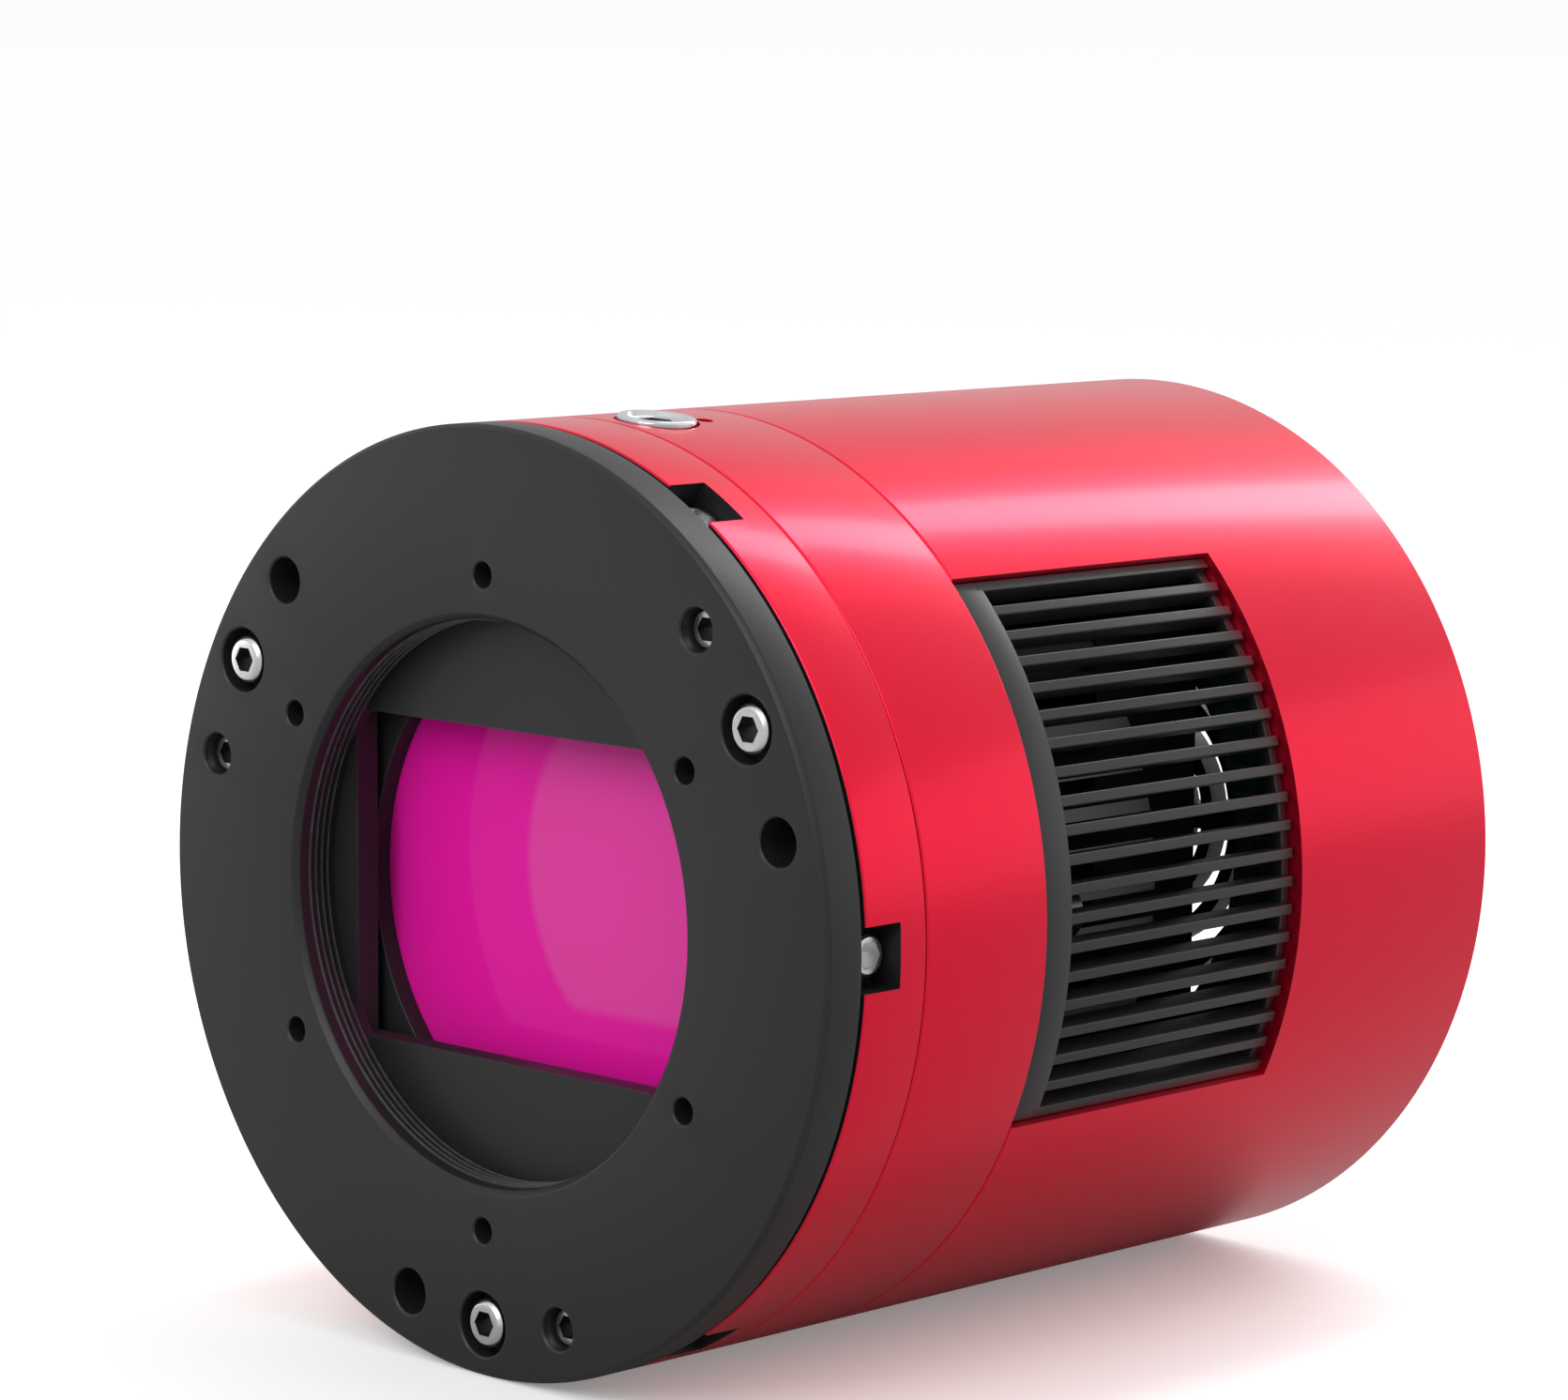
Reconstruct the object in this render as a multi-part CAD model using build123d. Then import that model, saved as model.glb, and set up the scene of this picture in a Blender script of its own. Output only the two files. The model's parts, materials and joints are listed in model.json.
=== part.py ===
from build123d import *
import math
import os

# Cooled astronomy camera. Millimetres. The origin is the centre of the front face,
# +Y runs back along the optical axis, +Z is up and +X is right seen from the front.
# Angles are in degrees from +X towards +Z.

os.makedirs("parts", exist_ok=True)

# Overall sizes
body_d = 90.0
plate_t = 4.3
tilt_gap = 0.6
front_housing_l = 7.8
middle_housing_l = 16.2
rear_shell_l = 66.1
seam_chamfer = 0.2

# Clearances
slip = 0.1
turn_play = 0.05
tilt_play = 0.35
seat_gap = 0.05
loose = 0.3

# Tilt plate: M54 x 0.75 thread (minor diameter), hub and edges
thread_minor_d = 53.2
hub_wall = 6.4
hub_l = 1.2
plate_chamfer = 0.45
bore_chamfer = 0.6

# Six tapped M3 holes round the thread
face_hole_d = 2.5
face_hole_from_bore = 4.4
face_hole_depth = 4.2
face_hole_angles = [30, 90, 150, 210, 270, 330]

# Adjusting screws and adapter holes share one circle, this far in from the edge
adjust_inset = 5.0
pull_angles = [30, 150, 270]
push_angles = [45, 165, 285]
adapter_angles = [15, 135, 255]
pull_shank_d = 2.5
pull_head_d = 4.6
pull_head_h = 2.5
pull_counterbore_d = 6.3
pull_counterbore_depth = 2.8
pull_length = 8.7
push_d = 4.0
push_recess = 1.4
push_tip_gap = 0.4
adapter_hole_d = 4.5
socket_af = 2.0
socket_depth = 1.4
screw_edge_share = 1 / 12
head_socket_share = 0.55

# Foam light seal behind the hub
seal_inset = 1.5
seal_w = 2.0
seal_groove_depth = 1.2
seal_play = 0.2

# Chamber cover with the rectangular mask, whose corners stay inside the light seal
cover_rim_w = 2.5
cover_floor_t = 2.5
mask_h = 31.8
mask_corner_gap = 1.0
chamber_d = 68.0

# Window stack
window_d = 60.0
window_t = 2.0
aperture_w = 5.0
aperture_t = 2.0
heater_t = 0.3
heater_w = 3.2
window_oring_d = 1.2
retainer_t = 2.0
retainer_w = 4.5
retainer_slot_w = 1.6

# Radial screws in the notches
notch_angles = [0, 60, 120, 180, 240, 300]
notch_w = 6.0
notch_l = 4.4
notch_depth = 3.8
side_head_d = 3.8
side_head_h = 2.0
side_socket_af = 1.5
side_socket_depth = 1.0
side_shank_d = 2.0
side_engagement = 2.1

# Screws between the housings
front_screw_angles = [100, 220, 340]
front_screw_inset = 4.5
housing_screw_angles = [0, 60, 120, 180, 240, 300]
housing_screw_inset = 6.1
m3_d = 3.0
m3_head_d = 5.5
m3_head_h = 3.0
m3_socket_af = 2.5
housing_screw_bite = 6.0

# Seals of the sensor chamber
cover_oring_d = 1.4
chamber_oring_d = 1.25
chamber_oring_wall = 1.8

# Air plug near the top
plug_angle = 84.5
plug_from_seam = 5.3
plug_head_d = 7.6
plug_proud = 0.4
plug_neck_d = 5.4
plug_neck_l = 7.0
plug_oring_d = 0.9
plug_socket_af = 3.0
plug_socket_depth = 2.2
plug_rim_w = 1.0
plug_dish_depth = 0.45
plug_edge = 0.2
plug_head_play = 0.3
plug_seat_depth = 0.7
purge_hole_d = 1.7
purge_hole_angle = 82.7
purge_hole_back = 4.9
purge_hole_depth = 2.0

# Sensor stack
sensor_gap = 0.2
cover_glass_t = 0.7
die_recess = 0.5
die_t = 0.7
sensor_w = 36.0
sensor_h = 24.0
package_margin = 5.0
package_t = 3.0
glass_inset = 1.0
board_w = 50.0
board_h = 42.0
pcb_t = 1.6
spacer_x = 22.4
spacer_z = 17.5
spacer_d = 4.0

# Cooler
cold_block_w = 28.0
cold_block_h = 22.0
cold_block_play = 0.2
cold_plate_w = 34.0
cold_plate_t = 2.6
cold_stage_w = 30.0
hot_stage_w = 40.0
ceramic_t = 0.7
pellet_t = 1.3
pellet_w = 2.4
pellet_pitch = 6.7
stage_sink = 1.5
stage_play = 0.5
insulation_t = 5.9
insulation_window_w = 43.0
insulation_play = 1.0
desiccant_d = 7.0
desiccant_l = 5.0
desiccant_circle_r = 27.6
desiccant_angles = [60, 90, 120]

# Heat sink
sink_base_t = 6.1
fin_post_gap = 0.5
fin_t = 1.2
fin_pitch = 3.8
fins_each_side = 7
boss_d = 6.4

# Cable through the heat sink
feed_w = 14.0
feed_h = 4.0
feed_z = -30.5
feed_inside = 2.4
feed_outside = 2.0
flex_w = 11.0
flex_t = 0.4

# Fan, square frame
fan_w = 50.0
fan_t = 15.0
fan_corner_r = 4.0
fan_duct_wall = 1.4
fan_hole_inset = 5.0
fan_gap = 2.0
fan_board_gap = 5.3
fan_base_t = 2.0
fan_base_d = 26.0
fan_strut_w = 3.0
fan_hub_d = 25.2
fan_cup_wall = 1.3
fan_cap_t = 1.5
fan_blades = 7
fan_blade_t = 1.0
fan_blade_pitch_deg = 38.0
fan_tip_gap = 0.8
shaft_d = 3.0
bearing_d = 5.8
bearing_l = 2.5
bearing_tube_d = 8.4
magnet_t = 1.6
stator_d = 18.0
fan_screw_l = 24.0
fan_screw_head_h = 2.4

# Rear shell, its side windows and the grilles
shell_wall = 2.6
window_top_deg = 43.8
window_bottom_deg = -25.2
side_window_l = 36.6
grille_recess = 0.7
grille_t = 2.3
grille_band = 4.1
grille_rear_band = 1.0
grille_slots = 19
grille_margin_deg = 1.4
slat_share = 0.32
grille_tongue_t = 1.1
grille_tongue_l = 3.0

# Rear cover, main board and ports
cover_recess = 0.4
rear_cover_t = 2.4
lip_w = 1.0
lip_t = 1.5
port_depth = 15.0
port_proud = 0.3
port_play = 0.3
board_bore_d = 52.0
board_edge_gap = 1.4
post_inset = 3.5
post_angles = [75, 105, 255, 285]
post_d = 5.0
stud_l = 5.0
cover_screw_head_h = 1.6
cover_screw_l = 8.0
vent_r = 21.0
vent_slot_w = 2.2
vent_bar_w = 1.5
vent_hub_r = 4.4
vent_spoke_w = 2.6

usb3_w = 12.2
usb3_h = 10.8
usb3_corner = 2.2
usb3_place = (0.0, -31.5)
usb2_w = 13.2
usb2_h = 5.8
usb2_places = [(-20.0, -24.0), (20.0, -24.0)]
usb_wall = 0.5
usb_throat = 11.0
usb3_tongue_w = 5.6
usb3_tongue_h = 3.2
usb2_tongue_w = 10.8
usb2_tongue_h = 1.9
usb2_tongue_up = 0.9
tongue_recess = 1.0
dc_w = 9.0
dc_h = 11.0
dc_place = (31.0, 0.0)
dc_bore_d = 5.9
dc_pin_d = 2.0
dc_throat = 9.5

# Chips on the main board, as (width, height, thickness, place), and its capacitors
chips = [
    (9.0, 9.0, 1.4, (23.5, 23.5)),
    (9.0, 9.0, 1.4, (-23.5, 23.5)),
    (9.0, 12.0, 1.8, (-33.0, 0.0)),
    (8.0, 5.0, 1.0, (0.0, 31.0)),
]
capacitor_d = 4.0
capacitor_l = 6.0
capacitor_angles = [22, 158, 168]

# Radii and distances that follow
body_r = body_d / 2
bore_r = thread_minor_d / 2
hub_r = bore_r + hub_wall
adjust_r = body_r - adjust_inset
face_hole_r = bore_r + face_hole_from_bore
front_screw_circle_r = body_r - front_screw_inset
housing_screw_circle_r = body_r - housing_screw_inset
seal_r_out = hub_r - seal_inset
seal_r_in = seal_r_out - seal_w
mask_corner_r = seal_r_in - tilt_play - mask_corner_gap
mask_w = 2 * math.sqrt(mask_corner_r**2 - (mask_h / 2) ** 2)
y_hub = plate_t + hub_l
y_housing = plate_t + tilt_gap
y_seam_1 = y_housing + front_housing_l
y_seam_2 = y_seam_1 + middle_housing_l
y_end = y_seam_2 + rear_shell_l

y_cover = y_hub + tilt_gap
rim_r = hub_r + tilt_play + seat_gap + slip
cover_r = rim_r + cover_rim_w
window_r = window_d / 2
aperture_r = window_r - aperture_w
retainer_r_in = window_r - retainer_w
pocket_r = window_r + slip
chamber_r = chamber_d / 2
nose_r = chamber_r - slip
chamber_oring_r = chamber_r + chamber_oring_wall
y_aperture = y_cover + cover_floor_t
y_window = y_aperture + aperture_t
y_heater = y_window + window_t
y_retainer = y_heater + heater_t + window_oring_d
y_nose = y_retainer + retainer_t + seat_gap
notch_floor_r = body_r - notch_depth
y_side_screw = y_housing + notch_l / 2
plug_y = y_seam_1 + plug_from_seam

y_glass = y_retainer + retainer_t + sensor_gap
y_package = y_glass + cover_glass_t
y_die = y_package + die_recess
y_sensor_board = y_package + package_t
stage_t = 2 * ceramic_t + pellet_t
y_hot_back = y_seam_2 + stage_sink
y_hot_stage = y_hot_back - stage_t
y_cold_stage = y_hot_stage - stage_t
y_cold_plate = y_cold_stage - cold_plate_t

shell_r_in = body_r - shell_wall
grille_r_out = body_r - grille_recess
grille_r_in = grille_r_out - grille_t
base_r = grille_r_in - 2 * slip
y_fins = y_seam_2 + sink_base_t
y_cover_back = y_end - cover_recess
y_rear_cover = y_cover_back - rear_cover_t
y_port_back = y_cover_back + port_proud
y_ports = y_port_back - port_depth
y_board = y_ports - pcb_t
y_fan_back = y_board - fan_board_gap
y_fan = y_fan_back - fan_t
y_fin_tips = y_fan - fan_gap
board_r = shell_r_in - board_edge_gap
post_circle_r = board_r - post_inset
fin_r = post_circle_r - post_d / 2 - fin_post_gap
y_side_window = y_seam_2 + side_window_l
stud_r = m3_d / 2
fan_duct_r = fan_w / 2 - fan_duct_wall
fan_hole_x = fan_w / 2 - fan_hole_inset
fan_corners = [(sx * fan_hole_x, sz * fan_hole_x) for sx in (-1, 1) for sz in (-1, 1)]


def slab(profile, y_front, y_back):
    """A profile drawn in X and Z, extruded from y_front to y_back."""
    plane = Plane(origin=(0, y_back, 0), x_dir=(1, 0, 0), z_dir=(0, -1, 0))
    return extrude(plane * profile, amount=y_back - y_front)


def disc(radius, y_front, y_back):
    return slab(Circle(radius), y_front, y_back)


def ring(r_out, r_in, y_front, y_back):
    return slab(Circle(r_out) - Circle(r_in), y_front, y_back)


def plate(width, height, y_front, y_back, place=(0, 0)):
    return slab(Pos(*place) * Rectangle(width, height), y_front, y_back)


def turned(*outline):
    """An outline of (radius, distance) corners turned about the optical axis."""
    return revolve(Polygon(*outline, align=None), axis=Axis.Y, revolution_arc=360)


def polar(radius, angle):
    """X and Z of a point on a circle about the optical axis."""
    return radius * math.cos(math.radians(angle)), radius * math.sin(math.radians(angle))


def moved(shape, radius, angle):
    x, z = polar(radius, angle)
    return Pos(x, 0, z) * shape


def round_axis(shape, radius, angles):
    """Copies of a shape, made on the optical axis, on a circle about it."""
    return [moved(shape, radius, angle) for angle in angles]


def turned_to(shape, angle):
    """A shape made on the +X side, turned about the optical axis."""
    return Rot(0, -angle, 0) * shape


def radial_pin(radius, r_from, r_to, y):
    """A cylinder that points along +X, from one distance from the axis to another."""
    pin = Cylinder(radius, r_to - r_from, align=(Align.CENTER, Align.CENTER, Align.MIN))
    return Pos(r_from, y, 0) * Rot(0, 90, 0) * pin


def oring(ring_r, section_d, y):
    return Pos(0, y, 0) * Rot(90, 0, 0) * Torus(ring_r, section_d / 2)


def hexagon(across_flats):
    return RegularPolygon(across_flats / math.sqrt(3), 6)


def cap_screw(shank_d, head_d, head_h, af, y_seat, y_tip):
    """A socket-head screw on the optical axis: its head ends at y_seat."""
    edge = head_d * screw_edge_share
    r = head_d / 2
    y_top = y_seat - head_h
    head = turned((0, y_top), (r - edge, y_top), (r, y_top + edge), (r, y_seat), (0, y_seat))
    shank = disc(shank_d / 2, y_seat, y_tip)
    return head + shank - slab(hexagon(af), y_top, y_top + head_h * head_socket_share)


def reversed_screw(screw, y_seat):
    """The same screw put in from the back, with its head behind y_seat."""
    return Pos(0, 2 * y_seat, 0) * Rot(0, 0, 180) * screw


def group(solids):
    return Compound(children=solids)


def make_tilt_plate():
    c = plate_chamfer
    body = turned(
        (bore_r + bore_chamfer, 0),
        (body_r - c, 0),
        (body_r, c),
        (body_r, plate_t),
        (hub_r, plate_t),
        (hub_r, y_hub),
        (bore_r, y_hub),
        (bore_r, bore_chamfer),
    )
    face_hole = disc(face_hole_d / 2, 0, face_hole_depth)
    body -= round_axis(face_hole, face_hole_r, face_hole_angles)
    pull_hole = disc(pull_shank_d / 2 + turn_play, 0, plate_t)
    pull_hole += disc(pull_counterbore_d / 2, 0, pull_counterbore_depth)
    body -= round_axis(pull_hole, adjust_r, pull_angles)
    body -= round_axis(disc(push_d / 2 + turn_play, 0, plate_t), adjust_r, push_angles)
    body -= round_axis(disc(adapter_hole_d / 2, 0, plate_t), adjust_r, adapter_angles)
    return body


def make_pull_screw(angle):
    seat = pull_counterbore_depth - seat_gap
    tip = seat + pull_length
    screw = cap_screw(pull_shank_d, pull_head_d, pull_head_h, socket_af, seat, tip)
    return moved(screw, adjust_r, angle)


def make_push_screw(angle):
    r = push_d / 2
    c = push_d * screw_edge_share
    tip = y_housing - push_tip_gap
    screw = turned(
        (0, push_recess),
        (r - c, push_recess),
        (r, push_recess + c),
        (r, tip - c),
        (r - c, tip),
        (0, tip),
    )
    screw -= slab(hexagon(socket_af), push_recess, push_recess + socket_depth)
    return moved(screw, adjust_r, angle)


def make_light_seal():
    back = y_cover + seal_groove_depth - seal_play
    return ring(seal_r_out, seal_r_in, y_hub + seal_play, back)


def make_front_housing():
    c = seam_chamfer
    inner = cover_r + slip
    body = turned(
        (inner, y_housing),
        (body_r - c, y_housing),
        (body_r, y_housing + c),
        (body_r, y_seam_1 - c),
        (body_r - c, y_seam_1),
        (inner, y_seam_1),
    )
    notch = Pos(notch_floor_r, y_housing, 0) * Box(
        body_r, notch_l * 2, notch_w, align=(Align.MIN, Align.CENTER, Align.CENTER)
    )
    hole = radial_pin(side_shank_d / 2 + slip, inner - 1, notch_floor_r + 1, y_side_screw)
    body -= [turned_to(notch, angle) for angle in notch_angles]
    body -= [turned_to(hole, angle) for angle in notch_angles]
    pull_tip = pull_counterbore_depth + pull_length
    pull_hole = disc(pull_shank_d / 2 + tilt_play, y_housing, pull_tip + tilt_play)
    body -= round_axis(pull_hole, adjust_r, pull_angles)
    screw_hole = disc(stud_r + slip, y_housing, y_seam_1)
    screw_hole += disc(m3_head_d / 2 + slip, y_housing, y_housing + m3_head_h + slip)
    body -= round_axis(screw_hole, front_screw_circle_r, front_screw_angles)
    return body


def make_side_screws():
    """Six radial screws, made on the +X side and turned to their notches."""
    top = notch_floor_r + side_head_h
    head = radial_pin(side_head_d / 2, notch_floor_r, top, y_side_screw)
    head = chamfer(head.edges().group_by(Axis.X)[-1], side_head_d * screw_edge_share)
    shank = radial_pin(side_shank_d / 2, cover_r - side_engagement, notch_floor_r, y_side_screw)
    socket = extrude(hexagon(side_socket_af), side_socket_depth)
    screw = head + shank - Pos(top, y_side_screw, 0) * Rot(0, -90, 0) * socket
    return group([turned_to(screw, angle) for angle in notch_angles])


def make_front_screws():
    seat = y_housing + m3_head_h + slip
    tip = y_seam_1 + housing_screw_bite
    screw = cap_screw(m3_d, m3_head_d, m3_head_h, m3_socket_af, seat, tip)
    return group(round_axis(screw, front_screw_circle_r, front_screw_angles))


def make_chamber_cover():
    body = turned(
        (0, y_cover),
        (rim_r, y_cover),
        (rim_r, y_housing),
        (cover_r, y_housing),
        (cover_r, y_seam_1),
        (nose_r, y_seam_1),
        (nose_r, y_nose),
        (pocket_r, y_nose),
        (pocket_r, y_aperture),
        (0, y_aperture),
    )
    body -= plate(mask_w, mask_h, y_cover, y_aperture)
    groove_r_out = seal_r_out + tilt_play
    groove_r_in = seal_r_in - tilt_play
    body -= ring(groove_r_out, groove_r_in, y_cover, y_cover + seal_groove_depth)
    groove_floor = chamber_r - cover_oring_d
    body -= ring(nose_r + slip, groove_floor, *cover_oring_span())
    tapped_floor = cover_r - side_engagement - slip
    tapped = radial_pin(side_shank_d / 2 + turn_play, tapped_floor, cover_r + 1, y_side_screw)
    body -= [turned_to(tapped, angle) for angle in notch_angles]
    return body


def cover_oring_span():
    """Front and back of the seal groove round the cover's nose."""
    middle = (y_seam_1 + y_nose) / 2
    half = cover_oring_d / 2 + slip
    return middle - half, middle + half


def make_cover_oring():
    front, back = cover_oring_span()
    return oring(chamber_r - cover_oring_d / 2, cover_oring_d - 2 * turn_play, (front + back) / 2)


def make_aperture_ring():
    return ring(window_r, aperture_r, y_aperture, y_window)


def make_window():
    return disc(window_r, y_window, y_heater)


def heater_r_in():
    return retainer_r_in + slip


def make_window_heater():
    return ring(heater_r_in() + heater_w, heater_r_in(), y_heater, y_heater + heater_t)


def make_window_oring():
    ring_r = (retainer_r_in + window_r) / 2
    return oring(ring_r, window_oring_d, y_heater + heater_t + window_oring_d / 2)


def make_window_retainer():
    body = ring(window_r, retainer_r_in, y_retainer, y_retainer + retainer_t)
    slot = plate(window_d + 2, retainer_slot_w, y_retainer + retainer_t / 2, y_retainer + retainer_t)
    return body - slot


def make_middle_housing():
    c = seam_chamfer
    body = turned(
        (chamber_r, y_seam_1),
        (body_r - c, y_seam_1),
        (body_r, y_seam_1 + c),
        (body_r, y_seam_2 - c),
        (body_r - c, y_seam_2),
        (chamber_r, y_seam_2),
    )
    half = chamber_oring_d / 2 + slip
    groove_front = y_seam_2 - chamber_oring_d - turn_play
    body -= ring(chamber_oring_r + half, chamber_oring_r - half, groove_front, y_seam_2)
    front_hole = disc(stud_r + turn_play, y_seam_1, y_seam_1 + housing_screw_bite + slip)
    body -= round_axis(front_hole, front_screw_circle_r, front_screw_angles)
    rear_hole = disc(stud_r + turn_play, y_seam_2 - housing_screw_bite - slip, y_seam_2)
    body -= round_axis(rear_hole, housing_screw_circle_r, housing_screw_angles)
    seat_r = body_r - plug_seat_depth
    neck_r = plug_neck_d / 2 + turn_play
    bore = radial_pin(neck_r, chamber_r - 2, seat_r, plug_y)
    bore += radial_pin(neck_r + plug_oring_d + turn_play, plug_ledge_r(), seat_r, plug_y)
    bore += radial_pin(plug_head_d / 2 + plug_head_play, seat_r, body_r + 1, plug_y)
    body -= turned_to(bore, plug_angle)
    purge_y = plug_y + purge_hole_back
    purge = radial_pin(purge_hole_d / 2, body_r - purge_hole_depth, body_r + 1, purge_y)
    return body - turned_to(purge, purge_hole_angle)


def plug_ledge_r():
    """Distance from the axis of the ledge that the plug's seal rests on."""
    return body_r - plug_seat_depth - plug_oring_d - turn_play


def make_air_plug():
    """Plug made on the +X side and turned to its place."""
    r = plug_head_d / 2
    seat = body_r - plug_seat_depth + seat_gap
    top = body_r + plug_proud
    head = radial_pin(r, seat, top, plug_y)
    head = chamfer(head.edges().group_by(Axis.X)[-1], plug_edge)
    neck = radial_pin(plug_neck_d / 2, seat - plug_neck_l, seat, plug_y)
    dish = radial_pin(r - plug_rim_w, top - plug_dish_depth, top + 1, plug_y)
    socket = extrude(hexagon(plug_socket_af), plug_socket_depth + 1)
    socket = Pos(top - plug_socket_depth, plug_y, 0) * Rot(0, 90, 0) * socket
    return turned_to(head + neck - dish - socket, plug_angle)


def make_plug_oring():
    ring_r = plug_neck_d / 2 + turn_play + plug_oring_d / 2
    ring_shape = Rot(0, 90, 0) * Torus(ring_r, plug_oring_d / 2)
    return turned_to(Pos(plug_ledge_r() + plug_oring_d / 2, plug_y, 0) * ring_shape, plug_angle)


def make_chamber_oring():
    return oring(chamber_oring_r, chamber_oring_d, y_seam_2 - chamber_oring_d / 2 - turn_play / 2)


def make_desiccant_tablets():
    tablet = disc(desiccant_d / 2, y_seam_2 - desiccant_l, y_seam_2)
    return group(round_axis(tablet, desiccant_circle_r, desiccant_angles))


def package_size():
    return sensor_w + 2 * package_margin, sensor_h + 2 * package_margin


def make_sensor_glass():
    width, height = package_size()
    return plate(width - 2 * glass_inset, height - 2 * glass_inset, y_glass, y_package)


def make_sensor_die():
    return plate(sensor_w, sensor_h, y_die, y_die + die_t)


def make_sensor_package():
    width, height = package_size()
    body = plate(width, height, y_package, y_sensor_board)
    cavity_w = sensor_w + package_margin
    cavity_h = sensor_h + package_margin
    cavity = plate(cavity_w, cavity_h, y_package, y_die + die_t)
    return body - cavity


def make_sensor_board():
    back = y_sensor_board + pcb_t
    body = plate(board_w, board_h, y_sensor_board, back)
    play = 2 * cold_block_play
    return body - plate(cold_block_w + play, cold_block_h + play, y_sensor_board, back)


def spacer_places():
    return [(sx * spacer_x, sz * spacer_z) for sx in (-1, 1) for sz in (-1, 1)]


def make_board_spacers():
    spacer = disc(spacer_d / 2, y_sensor_board + pcb_t, y_seam_2)
    return group([Pos(x, 0, z) * spacer for x, z in spacer_places()])


def make_cold_plate():
    block = plate(cold_block_w, cold_block_h, y_sensor_board, y_cold_plate)
    return block + plate(cold_plate_w, cold_plate_w, y_cold_plate, y_cold_stage)


def stages():
    """Width and front distance of the two cooler stages."""
    return [(cold_stage_w, y_cold_stage), (hot_stage_w, y_hot_stage)]


def make_tec_ceramics():
    plates = []
    for width, y in stages():
        plates.append(plate(width, width, y, y + ceramic_t))
        plates.append(plate(width, width, y + stage_t - ceramic_t, y + stage_t))
    return group(plates)


def make_tec_pellets():
    pellets = []
    for width, y in stages():
        count = int(width / pellet_pitch)
        pitch = (width - pellet_w) / count
        for row in range(count):
            for column in range(count):
                place = ((column - (count - 1) / 2) * pitch, (row - (count - 1) / 2) * pitch)
                front = y + ceramic_t
                pellets.append(plate(pellet_w, pellet_w, front, front + pellet_t, place))
    return group(pellets)


def make_insulation():
    front = y_seam_2 - insulation_t
    body = disc(chamber_r - insulation_play, front, y_seam_2)
    body -= plate(insulation_window_w, insulation_window_w, front, y_seam_2)
    pocket = disc(desiccant_d / 2 + loose, front, y_seam_2)
    body -= round_axis(pocket, desiccant_circle_r, desiccant_angles)
    hole = disc(spacer_d / 2 + loose, front, y_seam_2)
    body -= [Pos(x, 0, z) * hole for x, z in spacer_places()]
    slot_top = feed_z + feed_h / 2 + loose
    return body - plate(feed_w + 2 * loose, body_r, front, y_seam_2, (0, slot_top - body_r / 2))


def make_heat_sink():
    body = disc(base_r, y_seam_2, y_fins)
    pocket_w = hot_stage_w + 2 * stage_play
    body -= plate(pocket_w, pocket_w, y_seam_2, y_hot_back)
    outline = Circle(fin_r)
    for index in range(-fins_each_side, fins_each_side + 1):
        strip = Pos(0, index * fin_pitch) * Rectangle(2 * fin_r, fin_t)
        body += slab(outline & strip, y_fins, y_fin_tips)
    boss = disc(boss_d / 2, y_fins, y_fan)
    body += [Pos(x, 0, z) * boss for x, z in fan_corners]
    boss_hole = disc(stud_r + turn_play, y_fan_back - fan_screw_l - slip, y_fan)
    body -= [Pos(x, 0, z) * boss_hole for x, z in fan_corners]
    screw_hole = disc(stud_r + slip, y_seam_2, y_fins)
    body -= round_axis(screw_hole, housing_screw_circle_r, housing_screw_angles)
    post_hole = disc(stud_r + turn_play, y_fins - stud_l, y_fins)
    body -= round_axis(post_hole, post_circle_r, post_angles)
    return body - plate(feed_w + 2 * slip, feed_h + 2 * slip, y_seam_2, y_fins, (0, feed_z))


def make_housing_screws():
    tip = y_seam_2 - housing_screw_bite
    screw = cap_screw(m3_d, m3_head_d, m3_head_h, m3_socket_af, y_fins, 2 * y_fins - tip)
    screw = reversed_screw(screw, y_fins)
    return group(round_axis(screw, housing_screw_circle_r, housing_screw_angles))


def make_feedthrough():
    return plate(feed_w, feed_h, y_seam_2 - feed_inside, y_fins + feed_outside, (0, feed_z))


def make_sensor_flex():
    """Ribbon from the feedthrough's back face straight to the main board."""
    return plate(flex_w, flex_t, y_fins + feed_outside, y_board, (0, feed_z))


def make_fan_frame():
    outline = RectangleRounded(fan_w, fan_w, fan_corner_r) - Circle(fan_duct_r)
    body = slab(outline, y_fan, y_fan_back)
    strut_l = fan_w - fan_duct_wall
    strut = Rectangle(strut_l, fan_strut_w) + Rectangle(fan_strut_w, strut_l)
    body += slab(strut + Circle(fan_base_d / 2), y_fan, y_fan + fan_base_t)
    tube_back = y_fan_back - fan_cap_t - 2 * fan_tip_gap
    body += disc(bearing_tube_d / 2, y_fan, tube_back)
    body -= disc(bearing_d / 2 + slip / 2, y_fan + fan_base_t / 2, tube_back)
    hole = disc(stud_r + slip, y_fan, y_fan_back)
    return body - [Pos(x, 0, z) * hole for x, z in fan_corners]


def make_fan_screws():
    tip = y_fan_back - fan_screw_l
    tip_mirrored = 2 * y_fan_back - tip
    screw = cap_screw(m3_d, m3_head_d, fan_screw_head_h, m3_socket_af, y_fan_back, tip_mirrored)
    screw = reversed_screw(screw, y_fan_back)
    return group([Pos(x, 0, z) * screw for x, z in fan_corners])


def bearing_fronts():
    tube_back = y_fan_back - fan_cap_t - 2 * fan_tip_gap
    return [y_fan + fan_base_t / 2, tube_back - bearing_l - slip]


def make_fan_bearings():
    bore = shaft_d / 2 + turn_play / 2
    return group([ring(bearing_d / 2, bore, y, y + bearing_l) for y in bearing_fronts()])


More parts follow.
